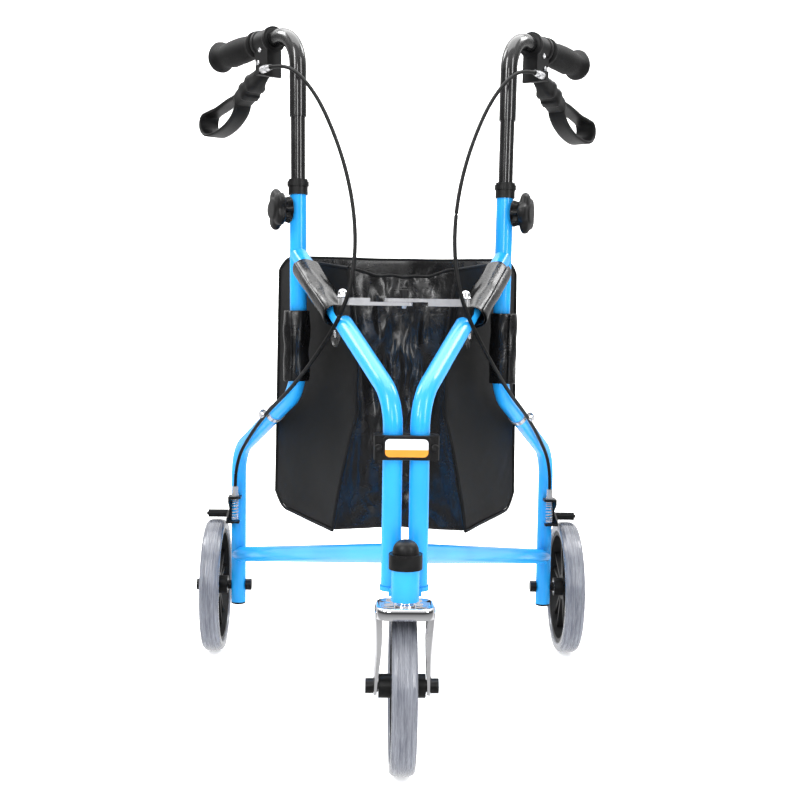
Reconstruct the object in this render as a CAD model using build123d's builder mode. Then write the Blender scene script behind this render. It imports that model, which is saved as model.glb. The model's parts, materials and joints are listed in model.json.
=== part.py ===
from build123d import *
import os
from math import sin, cos, tan, radians, sqrt

# Three-wheeled folding walker. Origin on the floor, midway between the axles.
# +Z is up, the front wheel is at -Y, and the user's left is +X. The left side is
# modelled and the right side is its mirror image.
os.makedirs("parts", exist_ok=True)

# ---- driving dimensions, mm and degrees ----
wheel_d = 200.0
tyre_w = 28.0
tyre_depth = 14.0
wheelbase = 482.0
fold_splay = 23.6          # each side frame from the walker's length, when open
pivot_x = 15.0             # hinge line of each side frame
tube_d = 22.2
tube_wall = 1.52
leg_run = 548.0            # from the hinge line to the leg, along the side frame
upright_run = 295.0        # the same to the upright's lower bend
upright_lean = 1.65
front_foot_z = 222.4
front_bend_z = 430.0
junction_z = 597.0
upright_bend_z = 418.0
leg_bend_z = 307.0
leg_foot_z = 74.0
upright_top_z = 674.0
stay_front_z = 258.0
stay_rear_z = 147.0
frame_bend_r = 55.0
axle_r = 4.0
track_half = 268.6         # rear wheel planes
steer_ahead = 32.0         # steering axis in front of the hinge line
handle_turn = 35.0         # handle from the walker's length
grip_height = 212.0        # grip line above the upright's top
grip_reach = 212.0
grip_start = 99.0
bar_run = 148.0            # crossbar pivots, along the side frame
bar_z = 532.0
cable_r = 2.5

# ---- clearances ----
running = 0.08
gap = 0.4

# ---- derived sizes ----
tube_r = tube_d / 2
bore_r = tube_r - tube_wall
wheel_r = wheel_d / 2
rim_r = wheel_r - tyre_depth
splay_sin = sin(radians(fold_splay))
splay_cos = cos(radians(fold_splay))
rear_axle_y = wheelbase / 2
front_axle_y = -wheelbase / 2
pivot_y = rear_axle_y - leg_run * splay_cos
steer_y = pivot_y - steer_ahead
leg_x = pivot_x + leg_run * splay_sin


def side_point(run, z, out=0.0):
    """A point by its distance along the left side frame, its height and its distance outward."""
    return Vector(pivot_x + run * splay_sin + out * splay_cos,
                  pivot_y + run * splay_cos - out * splay_sin, z)


def side_plane(run=0.0, z=0.0, out=0.0):
    return Plane(side_point(run, z, out), x_dir=(splay_sin, splay_cos, 0), z_dir=(splay_cos, -splay_sin, 0))


lean_tan = tan(radians(upright_lean))
upright_top_run = upright_run + (upright_top_z - upright_bend_z) * lean_tan
upright_dir = (side_point(upright_top_run, upright_top_z) - side_point(upright_run, upright_bend_z)).normalized()
upright_top = side_point(upright_top_run, upright_top_z)
handle_flat = Vector(sin(radians(handle_turn)), cos(radians(handle_turn)), 0)
handle_dir = (handle_flat - upright_dir * handle_flat.dot(upright_dir)).normalized()
handle_out = handle_dir.cross(upright_dir).normalized()


def handle_plane(reach=0.0, up=0.0, out=0.0):
    """Plane of the left handle: x along the grip, y along the upright, z outward."""
    spot = upright_top + handle_dir * reach + upright_dir * up + handle_out * out
    return Plane(spot, x_dir=handle_dir, z_dir=handle_out)


def upright_plane(up=0.0):
    """Plane square to the upright, above its top."""
    return Plane(upright_top + upright_dir * up, x_dir=handle_dir, z_dir=upright_dir)


def grip_plane(reach, up=grip_height, out=0.0):
    """Plane square to the grip."""
    spot = upright_top + handle_dir * reach + upright_dir * up + handle_out * out
    return Plane(spot, x_dir=handle_out, z_dir=handle_dir)


def write(piece, name):
    """Writes a piece that lies on the walker's centre line."""
    piece.part.label = name
    export_step(piece.part, f"parts/{name}.step")


def write_pair(piece, name):
    """Writes a left piece, and its mirror image as the right one."""
    write(piece, f"left_{name}")
    with BuildPart() as twin:
        add(mirror(piece.part, about=Plane.YZ))
    write(twin, f"right_{name}")


def swept(points, bend_r, radius, hole_r=0.0):
    """A tube or rod along straight runs joined by arcs."""
    radii = bend_r if isinstance(bend_r, list) else [bend_r] * (len(points) - 2)
    with BuildPart() as tube:
        with BuildLine() as route:
            if len(points) > 2:
                FilletPolyline(*points, radius=radii)
            else:
                Line(*points)
        with BuildSketch(Plane(route.line @ 0, z_dir=route.line % 0)):
            Circle(radius)
            if hole_r:
                Circle(hole_r, mode=Mode.SUBTRACT)
        sweep(path=route.line)
    return tube


# ---- side frame: three welded tubes ----
leg_slope = (upright_bend_z - leg_bend_z) / (leg_run - upright_run)
upright_points = [side_point(upright_top_run, upright_top_z), side_point(upright_run, upright_bend_z),
                  side_point(leg_run, leg_bend_z), side_point(leg_run, leg_foot_z)]
junction_run = upright_run + (junction_z - upright_bend_z) * lean_tan
front_points = [side_point(0, front_foot_z), side_point(0, front_bend_z), side_point(junction_run, junction_z)]
stay_points = [side_point(0, stay_front_z), side_point(leg_run, stay_rear_z)]

upright_solid = swept(upright_points, frame_bend_r, tube_r)
front_solid = swept(front_points, frame_bend_r, tube_r)

with BuildPart() as upright_tube:
    add(swept(upright_points, frame_bend_r, tube_r, bore_r).part)
    with BuildSketch(Plane((leg_x, rear_axle_y, wheel_r), x_dir=(0, 1, 0), z_dir=(1, 0, 0))):
        Circle(axle_r + running)
    extrude(amount=tube_d, both=True, mode=Mode.SUBTRACT)
write_pair(upright_tube, "upright_tube")

with BuildPart() as front_tube:
    add(swept(front_points, frame_bend_r, tube_r, bore_r).part)
    add(upright_solid.part, mode=Mode.SUBTRACT)
front_pieces = front_tube.part.solids().sort_by(SortBy.VOLUME)
with BuildPart() as front_tube:
    add(front_pieces[-1])
write_pair(front_tube, "front_tube")

with BuildPart() as lower_stay:
    add(swept(stay_points, [], tube_r, bore_r).part)
    add(upright_solid.part, mode=Mode.SUBTRACT)
    add(front_solid.part, mode=Mode.SUBTRACT)
stay_pieces = lower_stay.part.solids().sort_by(SortBy.VOLUME)
with BuildPart() as lower_stay:
    add(stay_pieces[-1])
write_pair(lower_stay, "lower_stay")

# ---- collar on the upright's top, and the plug in the leg's foot ----
collar_h = 20.0
collar_r = 12.8
collar_lip = 1.4
inner_r = bore_r - running         # the handle's lower tube
with BuildPart() as clamp_collar:
    with BuildSketch(upright_plane()):
        Circle(collar_r)
        Circle(bore_r, mode=Mode.SUBTRACT)
    extrude(amount=collar_h)
    with BuildSketch(upright_plane(collar_h * 0.55)):
        Circle(collar_r + collar_lip)
        Circle(collar_r - 1, mode=Mode.SUBTRACT)
    extrude(amount=collar_h * 0.3)
write_pair(clamp_collar, "clamp_collar")

plug_h = 18.0
plug_cap = 3.0
with BuildPart() as leg_plug:
    with BuildSketch(Plane(side_point(leg_run, leg_foot_z - plug_cap), z_dir=(0, 0, 1))):
        Circle(tube_r)
    extrude(amount=plug_cap)
    with BuildSketch(Plane(side_point(leg_run, leg_foot_z), z_dir=(0, 0, 1))):
        Circle(bore_r)
        Circle(bore_r - 2, mode=Mode.SUBTRACT)
    extrude(amount=plug_h - plug_cap)
    fillet(leg_plug.faces().sort_by(Axis.Z)[0].edges(), 1.2)
write_pair(leg_plug, "leg_plug")

# ---- height knob: six-lobed hand screw on the upright's outer face ----
knob_drop = 20.0
knob_r = 27.0
knob_depth = 19.0
knob_stand = 10.0
lobe_r = 8.0
stud_r = 4.0


def knob_plane(out):
    spot = upright_top - upright_dir * knob_drop + side_plane().z_dir * out
    return Plane(spot, x_dir=upright_dir, z_dir=side_plane().z_dir)


with BuildPart() as height_knob:
    with BuildSketch(knob_plane(tube_r + knob_stand)):
        Circle(knob_r - lobe_r)
        with PolarLocations(knob_r - lobe_r, 6):
            Circle(lobe_r)
    extrude(amount=knob_depth)
    knob_faces = height_knob.faces().sort_by(Axis((0, 0, 0), side_plane().z_dir))
    fillet(knob_faces[0].edges() + knob_faces[-1].edges(), 1.5)
    with BuildSketch(knob_plane(tube_r + gap)):
        Circle(12.0)
    extrude(amount=knob_stand)
    with BuildSketch(knob_plane(tube_r + knob_stand + knob_depth)):
        Circle(10.0)
    extrude(amount=4.0, taper=20)
write_pair(height_knob, "height_knob")

# ---- handle: swaged tube, grip, brake housing, cable barrel ----
insertion = 148.0
swage_up = 101.0
handle_bend_r = 45.0
handle_foot = upright_plane(-insertion).origin
handle_bend = upright_plane(grip_height).origin
handle_end = grip_plane(grip_reach - 3.0).origin
with BuildPart() as handle_tube:
    with BuildSketch(upright_plane(-insertion)):
        Circle(inner_r)
    extrude(amount=insertion + swage_up + 1)
    add(swept([upright_plane(swage_up).origin, handle_bend, handle_end], handle_bend_r, tube_r).part)
    add(swept([handle_foot, handle_bend, handle_end], handle_bend_r, inner_r - 1.5).part, mode=Mode.SUBTRACT)
write_pair(handle_tube, "handle_tube")

grip_r = 15.2
flange_r = 18.0
grip_len = grip_reach - grip_start
with BuildPart() as grip:
    with BuildSketch(handle_plane(up=grip_height)):
        with BuildLine():
            Line((grip_start, 0), (grip_start, flange_r - 1))
            Line((grip_start, flange_r - 1), (grip_start + 5, flange_r - 1))
            Spline((grip_start + 5, flange_r - 1), (grip_start + 0.25 * grip_len, grip_r - 0.6),
                   (grip_start + 0.6 * grip_len, grip_r + 1), (grip_reach - 7, flange_r - 2))
            Line((grip_reach - 7, flange_r - 2), (grip_reach - 7, flange_r))
            Line((grip_reach - 7, flange_r), (grip_reach, flange_r))
            Line((grip_reach, flange_r), (grip_reach, 0))
            Line((grip_reach, 0), (grip_start, 0))
        make_face()
    revolve(axis=Axis(grip_plane(0).origin, handle_dir))
    with BuildSketch(grip_plane(grip_start)):
        Circle(tube_r)
    extrude(amount=grip_len - 3.0, mode=Mode.SUBTRACT)
write_pair(grip, "grip")

housing_start = 58.0
housing_len = 38.0
housing_r = 16.0
lever_pivot_reach = 82.0
lever_pivot_drop = 29.0
cheek_half = 11.0
cheek_t = 3.0
barrel_out = 19.0
barrel_drop = 43.0
barrel_r = 5.0
cable_bore_r = cable_r + 0.5
with BuildPart() as brake_housing:
    with BuildSketch(grip_plane(housing_start)):
        Circle(housing_r)
    extrude(amount=housing_len)
    fillet(brake_housing.edges().filter_by(GeomType.CIRCLE), 2.5)
    with BuildSketch(handle_plane(up=grip_height, out=-cheek_half)):
        with BuildLine():
            Polyline((housing_start + 1, -8), (housing_start + housing_len - 1, -8),
                     (lever_pivot_reach + 8, -lever_pivot_drop), (lever_pivot_reach + 4, -lever_pivot_drop - 8),
                     (lever_pivot_reach - 4, -lever_pivot_drop - 8), (housing_start + 6, -barrel_drop - 7),
                     (housing_start + 1, -barrel_drop - 7), (housing_start + 1, -8))
        make_face()
    extrude(amount=2 * cheek_half)
    with BuildSketch(grip_plane(housing_start + 1, grip_height - barrel_drop, cheek_half)):
        Rectangle(2 * (barrel_out - cheek_half) + 2 * barrel_r, 2 * barrel_r + 3)
    extrude(amount=9.0)
    # slot for the lever's root, and the seats of the handle tube and the barrel
    with BuildSketch(handle_plane(up=grip_height, out=-cheek_half + cheek_t)):
        with Locations((lever_pivot_reach + 2, -lever_pivot_drop - 4)):
            Rectangle(24, 30)
    extrude(amount=2 * (cheek_half - cheek_t), mode=Mode.SUBTRACT)
    with BuildSketch(grip_plane(housing_start - 1)):
        Circle(tube_r)
    extrude(amount=housing_len + 2, mode=Mode.SUBTRACT)
    with BuildSketch(grip_plane(housing_start - 1, grip_height - barrel_drop, barrel_out)):
        Circle(barrel_r - 1)
    extrude(amount=12, mode=Mode.SUBTRACT)
    with BuildSketch(handle_plane(lever_pivot_reach, grip_height - lever_pivot_drop, -cheek_half)):
        Circle(2.5)
    extrude(amount=2 * cheek_half, mode=Mode.SUBTRACT)
write_pair(brake_housing, "brake_housing")

barrel_len = 22.0
with BuildPart() as top_barrel:
    with BuildSketch(grip_plane(housing_start + 0.9, grip_height - barrel_drop, barrel_out)):
        Circle(barrel_r)
    extrude(amount=-barrel_len * 0.55)
    with BuildSketch(grip_plane(housing_start + 0.9 - barrel_len * 0.55, grip_height - barrel_drop, barrel_out)):
        Circle(barrel_r - 1.2)
    extrude(amount=-barrel_len * 0.45)
    with BuildSketch(grip_plane(housing_start + 0.9, grip_height - barrel_drop, barrel_out)):
        Circle(barrel_r - 1)
    extrude(amount=8.0)
    with BuildSketch(grip_plane(housing_start + 10, grip_height - barrel_drop, barrel_out)):
        Circle(cable_bore_r)
    extrude(amount=-barrel_len - 12, mode=Mode.SUBTRACT)
write_pair(top_barrel, "top_barrel")

# ---- brake lever: a flat band bent into a closed loop, on its pivot pin ----
loop_reach = 268.0
loop_drop = 88.0
band_t = 4.5
band_w = 24.0
root_half = cheek_half - cheek_t - gap
pin_r = 2.5 - running
with BuildPart() as brake_lever:
    root = (lever_pivot_reach, -lever_pivot_drop)
    with BuildSketch(handle_plane(up=grip_height, out=-band_w / 2)):
        with BuildLine() as outline:
            FilletPolyline(root, (lever_pivot_reach + 22, -lever_pivot_drop - 6), (loop_reach - 70, -56),
                           (loop_reach, -62), (loop_reach - 12, -loop_drop - 6), (loop_reach - 80, -loop_drop - 16),
                           (lever_pivot_reach + 26, -lever_pivot_drop - 40), (lever_pivot_reach, -lever_pivot_drop - 20),
                           radius=[12, 30, 13, 13, 40, 14])
        trace(outline.line, line_width=band_t)
    extrude(amount=band_w)
    # the band is narrow at its root, to fit between the housing's cheeks
    for side_out in (-band_w / 2, root_half):
        with BuildSketch(handle_plane(up=grip_height, out=side_out)):
            with Locations((lever_pivot_reach + 2, -lever_pivot_drop - 2)):
                Rectangle(34, 30)
        extrude(amount=band_w / 2 - root_half, mode=Mode.SUBTRACT)
    with BuildSketch(handle_plane(up=grip_height, out=-root_half)):
        with Locations((lever_pivot_reach + 1, -lever_pivot_drop - 10)):
            RectangleRounded(18, 32, 4)
    extrude(amount=2 * root_half)
    with BuildSketch(handle_plane(up=grip_height, out=-cheek_half - 2)):
        with Locations(root):
            Circle(pin_r)
    extrude(amount=2 * cheek_half + 4)
write_pair(brake_lever, "brake_lever")

# ---- steering head: sleeve with the hinge plate, cap, hinge pins ----
head_r = 15.5
head_bore_r = 10.0
head_foot_z = 212.5
head_top_z = 262.0
cap_lip_z = 248.0
plate_z = 217.0
hinge_pin_len = 34.0
spigot_r = 5.0
plate_t = front_foot_z - gap - plate_z
with BuildPart() as head_tube:
    with BuildSketch(Plane.XY.offset(head_foot_z)):
        with Locations((0, steer_y)):
            Circle(head_r)
    extrude(amount=head_top_z - head_foot_z)
    with BuildSketch(Plane.XY.offset(plate_z)):
        with Locations((pivot_x, pivot_y), (-pivot_x, pivot_y)):
            Circle(tube_r + 1.5)
        with Locations((0, (pivot_y + steer_y) / 2)):
            Rectangle(2 * pivot_x + 6, steer_ahead)
    extrude(amount=plate_t)
    with BuildSketch(Plane.YZ.offset(-2.0)):
        with BuildLine():
            Polyline((steer_y, plate_z), (pivot_y - 6, plate_z), (pivot_y - 6, plate_z + plate_t + 5),
                     (steer_y + head_r - 2, cap_lip_z - 4), (steer_y, cap_lip_z - 4), (steer_y, plate_z))
        make_face()
    extrude(amount=4.0)
    with BuildSketch(Plane.XY.offset(head_foot_z)):
        with Locations((0, steer_y)):
            Circle(head_bore_r)
    extrude(amount=head_top_z - head_foot_z, mode=Mode.SUBTRACT)
    with BuildSketch(Plane.XY.offset(plate_z)):
        with Locations((pivot_x, pivot_y), (-pivot_x, pivot_y)):
            Circle(spigot_r)
    extrude(amount=plate_t, mode=Mode.SUBTRACT)
write(head_tube, "head_tube")

cap_r = 18.5
cap_ring_h = 16.5
cap_dome = 18.0
with BuildPart() as head_cap:
    with BuildSketch(Plane.YZ):
        with BuildLine():
            Line((steer_y + head_r, cap_lip_z), (steer_y + cap_r, cap_lip_z))
            Line((steer_y + cap_r, cap_lip_z), (steer_y + cap_r, cap_lip_z + cap_ring_h))
            Line((steer_y + cap_r, cap_lip_z + cap_ring_h), (steer_y + head_r - 1, cap_lip_z + cap_ring_h))
            Spline((steer_y + head_r - 1, cap_lip_z + cap_ring_h), (steer_y + 11, head_top_z + cap_dome - 4),
                   (steer_y, head_top_z + cap_dome), tangents=[(0, 1), (-1, 0)])
            Line((steer_y, head_top_z + cap_dome), (steer_y, head_top_z + 8))
            Line((steer_y, head_top_z + 8), (steer_y + head_r - 5, head_top_z))
            Line((steer_y + head_r - 5, head_top_z), (steer_y + head_r, head_top_z))
            Line((steer_y + head_r, head_top_z), (steer_y + head_r, cap_lip_z))
        make_face()
    revolve(axis=Axis((0, steer_y, 0), (0, 0, 1)))
    with BuildSketch(Plane.YZ.offset(-3.0)):
        with Locations((steer_y + cap_r, cap_lip_z + cap_ring_h / 2)):
            Rectangle(8, 2 * cap_ring_h)
    extrude(amount=6.0, mode=Mode.SUBTRACT)
write(head_cap, "head_cap")

with BuildPart() as hinge_pins:
    for start_z, end_z, radius in ((plate_z, plate_z + plate_t, spigot_r),
                                   (plate_z + plate_t, plate_z + hinge_pin_len, bore_r - running)):
        with BuildSketch(Plane.XY.offset(start_z)):
            with Locations((pivot_x, pivot_y), (-pivot_x, pivot_y)):
                Circle(radius)
        extrude(amount=end_z - start_z)
write(hinge_pins, "hinge_pins")

# ---- clamp: two plastic halves round the hinge tubes, with two screws ----
clamp_z = 378.0
clamp_h = 27.0
clamp_half_w = 36.0
clamp_depth = 15.5
screw_x = 31.0
screw_r = 2.2
with BuildPart() as clamp_halves:
    for side in (1, -1):
        with BuildSketch(Plane.XY.offset(clamp_z - clamp_h / 2)):
            with Locations((0, pivot_y + side * (clamp_depth / 2 + 0.2))):
                Rectangle(2 * clamp_half_w, clamp_depth)
        extrude(amount=clamp_h)
    fillet(clamp_halves.edges().filter_by(Axis.Z).group_by(Axis.Y)[0], 6.0)
    fillet(clamp_halves.edges().filter_by(Axis.Z).group_by(Axis.Y)[-1], 6.0)
    with BuildSketch(Plane.XY.offset(clamp_z - clamp_h / 2)):
        with Locations((pivot_x, pivot_y), (-pivot_x, pivot_y)):
            Circle(tube_r + running)
    extrude(amount=clamp_h, mode=Mode.SUBTRACT)
    with BuildSketch(Plane.XZ.offset(-(pivot_y - clamp_depth - 0.2))):
        with Locations((screw_x, clamp_z), (-screw_x, clamp_z)):
            Circle(screw_r)
    extrude(amount=-2 * clamp_depth - 0.4, mode=Mode.SUBTRACT)
write(clamp_halves, "clamp_halves")

with BuildPart() as clamp_screws:
    with BuildSketch(Plane.XZ.offset(-(pivot_y - clamp_depth - 0.2))):
        with Locations((screw_x, clamp_z), (-screw_x, clamp_z)):
            Circle(screw_r)
    extrude(amount=-2 * clamp_depth - 0.4)
    with BuildSketch(Plane.XZ.offset(-(pivot_y - clamp_depth - 0.2))):
        with Locations((screw_x, clamp_z), (-screw_x, clamp_z)):
            Circle(4.2)
    extrude(amount=2.6)
    fillet(clamp_screws.faces().sort_by(Axis.Y)[0:2].edges(), 1.0)
write(clamp_screws, "clamp_screws")

# ---- fork: bent steel crown and legs, with its stem ----
fork_half_w = 32.0
fork_t = 3.0
crown_z = 205.5
hub_half_w = 27.0
with BuildPart() as fork:
    with BuildSketch(Plane.YZ.offset(-fork_half_w)):
        with BuildLine():
            Polyline((steer_y - 30, crown_z), (steer_y + 26, crown_z), (front_axle_y + 11.5, wheel_r + 3),
                     (front_axle_y + 6, wheel_r - 10), (front_axle_y - 6, wheel_r - 10),
                     (front_axle_y - 11.5, wheel_r + 3), (steer_y - 26, crown_z - 22), (steer_y - 30, crown_z - 14),
                     (steer_y - 30, crown_z))
        make_face()
    extrude(amount=2 * fork_half_w)
    fillet(fork.edges().filter_by(Axis.X), 5.0)
    fillet(fork.edges().filter_by(Axis.Y).group_by(Axis.Z)[-1], 5.0)
    with BuildSketch(Plane.XY):
        with Locations((0, pivot_y)):
            Rectangle(2 * (fork_half_w - fork_t), 300)
    extrude(amount=crown_z - fork_t, mode=Mode.SUBTRACT)
    with BuildSketch(Plane.YZ.offset(-fork_half_w)):
        with Locations((front_axle_y, wheel_r)):
            Circle(axle_r)
    extrude(amount=2 * fork_half_w, mode=Mode.SUBTRACT)
    with BuildSketch(Plane.XY.offset(crown_z - fork_t)):
        with Locations((0, steer_y)):
            Circle(head_bore_r - running)
    extrude(amount=head_top_z - crown_z + fork_t)
    with BuildSketch(Plane.XY.offset(crown_z - 0.5)):
        with Locations((0, steer_y)):
            Circle(13.5)
    extrude(amount=head_foot_z - gap - crown_z + 0.5)
write(fork, "fork")


def axle_profile(inner, outer, stations):
    """Turned bolt along X: each station is (x, radius)."""
    with BuildPart() as bolt:
        for x_start, x_end, radius in stations:
            with BuildSketch(Plane.YZ.offset(x_start)):
                with Locations((inner, outer)):
                    Circle(radius)
            extrude(amount=x_end - x_start)
    return bolt


nut_r = 8.6
with BuildPart() as fork_axle:
    add(axle_profile(front_axle_y, wheel_r, [
        (-fork_half_w - 10, -fork_half_w, nut_r), (-fork_half_w, fork_half_w, axle_r),
        (fork_half_w, fork_half_w + 10, nut_r),
        (-fork_half_w + fork_t, -hub_half_w - gap, 7.0), (hub_half_w + gap, fork_half_w - fork_t, 7.0)]).part)
write(fork_axle, "fork_axle")

hub_r = 13.7
hub_w = 2 * hub_half_w
rear_hub_in = leg_x + tube_r + 5.0
rear_hub_out = track_half + tyre_w / 2 + 2.0
with BuildPart() as axle:
    add(axle_profile(rear_axle_y, wheel_r, [
        (leg_x - tube_r - 9, leg_x - tube_r, nut_r), (leg_x - tube_r, rear_hub_out + gap, axle_r),
        (leg_x + tube_r, rear_hub_in - gap, 7.0), (rear_hub_out + gap, rear_hub_out + 13, nut_r)]).part)
write_pair(axle, "axle")

# ---- wheels: tyre, spoked rim, two ball bearings ----
bearing_r = 9.0
bearing_w = 7.0
rim_w = 23.0
spoke_pairs = 5


def wheel(centre_x, centre_y, hub_in, hub_out):
    """Tyre, rim and bearings of one wheel, about its axle."""
    spin = Axis((0, centre_y, wheel_r), (1, 0, 0))
    with BuildPart() as tyre:
        with BuildSketch(Plane.XZ.offset(-centre_y)):
            with Locations((centre_x, wheel_r + rim_r)):
                Rectangle(tyre_w, tyre_depth, align=(Align.CENTER, Align.MIN))
            fillet(vertices().group_by(Axis.Y)[-1], 8.0)
            fillet(vertices().group_by(Axis.Y)[0], 2.0)
        revolve(axis=spin)
    with BuildPart() as rim:
        with BuildSketch(Plane.YZ.offset(centre_x - rim_w / 2)):
            with Locations((centre_y, wheel_r)):
                Circle(rim_r)
                Circle(rim_r - 7.0, mode=Mode.SUBTRACT)
        extrude(amount=rim_w)
        with BuildSketch(Plane.YZ.offset(centre_x - 5.0)):
            for turn in range(spoke_pairs):
                for lean in (-10.0, 10.0):
                    with Locations(Location((centre_y, wheel_r), turn * 360.0 / spoke_pairs + 90 + lean)):
                        with Locations(((rim_r - 3) / 2 + 4, 0)):
                            Rectangle(rim_r - 11, 5.0)
            with Locations((centre_y, wheel_r)):
                Circle(hub_r + 6)
        extrude(amount=10.0)
        with BuildSketch(Plane.YZ.offset(hub_in)):
            with Locations((centre_y, wheel_r)):
                Circle(hub_r)
        extrude(amount=hub_out - hub_in)
        with BuildSketch(Plane.YZ.offset(hub_in)):
            with Locations((centre_y, wheel_r)):
                Circle(axle_r + 2.0)
        extrude(amount=hub_out - hub_in, mode=Mode.SUBTRACT)
        for face_x in (hub_in, hub_out - bearing_w):
            with BuildSketch(Plane.YZ.offset(face_x)):
                with Locations((centre_y, wheel_r)):
                    Circle(bearing_r)
            extrude(amount=bearing_w, mode=Mode.SUBTRACT)
    with BuildPart() as bearings:
        for face_x in (hub_in, hub_out - bearing_w):
            with BuildSketch(Plane.YZ.offset(face_x)):
                with Locations((centre_y, wheel_r)):
                    Circle(bearing_r)
                    Circle(axle_r + running, mode=Mode.SUBTRACT)
            extrude(amount=bearing_w)
    return tyre, rim, bearings


front_tyre, front_rim, front_bearings = wheel(0.0, front_axle_y, -hub_half_w, hub_half_w)
write(front_tyre, "front_tyre")
write(front_rim, "front_rim")
write(front_bearings, "front_bearings")
rear_tyre, rear_rim, rear_bearings = wheel(track_half, rear_axle_y, rear_hub_in, rear_hub_out)
write_pair(rear_tyre, "tyre")
write_pair(rear_rim, "rim")
write_pair(rear_bearings, "bearings")

# ---- crossbar: pivot brackets, two channel bars that lap at the middle, and the pull knob ----
bar_h = 9.0
bar_w = 11.0
bar_wall = 1.6
lap_h = (bar_h - gap) / 2
stud_pivot_r = 3.0
bracket_h = 16.0
bar_half = side_point(bar_run, 0).X
bar_y = side_point(bar_run, 0).Y
bar_top = bar_z + bar_h
pivot_head_z = bar_top + gap
with BuildPart() as bar_bracket:
    with BuildSketch(Plane.XY.offset(bar_z - gap - bracket_h)):
        with Locations((bar_half, bar_y)):
            RectangleRounded(20, 18, 4, rotation=90 - fold_splay)
    extrude(amount=bracket_h)
    with BuildSketch(Plane.XY.offset(bar_z - gap)):
        with Locations((bar_half, bar_y)):
            Circle(stud_pivot_r - running)
    extrude(amount=pivot_head_z - bar_z + gap)
    with BuildSketch(Plane.XY.offset(pivot_head_z)):
        with Locations((bar_half, bar_y)):
            Circle(5.6)
    extrude(amount=6.0)
    fillet(bar_bracket.faces().sort_by(Axis.Z)[-1].edges(), 4.0)
    add(front_solid.part, mode=Mode.SUBTRACT)
write_pair(bar_bracket, "bar_bracket")

knob_stem_r = 3.0
rivet_r = 3.2
rivet_h = 3.0
left_lap_tip = -18.0
left_lap_root = 29.0
right_lap_tip = 5.0
right_lap_root = -41.0


def crossbar(end_x, root_x, tip_x, lap_bottom):
    """Channel bar from its pivot, and its half-height lap from the root to the tip."""
    inner = bar_w - 2 * bar_wall
    with BuildPart() as bar:
        with BuildSketch(Plane.XY.offset(bar_z)):
            with Locations((end_x, bar_y)):
                Circle(bar_w / 2)
            with Locations(((end_x + root_x) / 2, bar_y)):
                Rectangle(abs(end_x - root_x), bar_w)
        extrude(amount=bar_h)
        with BuildSketch(Plane.XY.offset(bar_z)):
            with Locations((end_x, bar_y)):
                Circle(inner / 2)
            with Locations(((end_x + root_x) / 2, bar_y)):
                Rectangle(abs(end_x - root_x) - 2 * bar_wall, inner)
        extrude(amount=bar_h - bar_wall, mode=Mode.SUBTRACT)
        with BuildSketch(Plane.XY.offset(lap_bottom)):
            with Locations((tip_x, bar_y)):
                Circle(bar_w / 2)
            with Locations(((tip_x + root_x) / 2, bar_y)):
                Rectangle(abs(tip_x - root_x), bar_w)
        extrude(amount=lap_h)
        with BuildSketch(Plane.XY.offset(bar_z)):
            with Locations((end_x, bar_y)):
                Circle(stud_pivot_r)
        extrude(amount=bar_h, mode=Mode.SUBTRACT)
    return bar


with BuildPart() as left_brace:
    add(crossbar(bar_half, left_lap_root, left_lap_tip, bar_top - lap_h).part)
    with BuildSketch(Plane.XY.offset(bar_z)):
        with Locations((0, bar_y)):
            Circle(knob_stem_r + running)
    extrude(amount=bar_h, mode=Mode.SUBTRACT)
write(left_brace, "left_brace")
with BuildPart() as right_brace:
    add(crossbar(-bar_half, right_lap_root, right_lap_tip, bar_z).part)
    with BuildSketch(Plane.XY.offset(bar_z)):
        with Locations((0, bar_y)):
            Circle(rivet_r)
    extrude(amount=-rivet_h, taper=12)
write(right_brace, "right_brace")

knob_body_h = 10.5
knob_tip_h = 3.0
with BuildPart() as latch_knob:
    with BuildSketch(Plane.XY.offset(bar_top - lap_h)):
        with Locations((0, bar_y)):
            Circle(knob_stem_r)
    extrude(amount=lap_h + gap)
    with BuildSketch(Plane.XY.offset(bar_top + gap)):
        with Locations((0, bar_y)):
            Circle(5.2)
    extrude(amount=knob_body_h)
    fillet(latch_knob.faces().sort_by(Axis.Z)[-1].edges(), 1.2)
    with BuildSketch(Plane.XY.offset(bar_top + gap + knob_body_h)):
        with Locations((0, bar_y)):
            Circle(3.6)
    extrude(amount=knob_tip_h)
    fillet(latch_knob.faces().sort_by(Axis.Z)[-1].edges(), 1.2)
write(latch_knob, "latch_knob")

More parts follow.
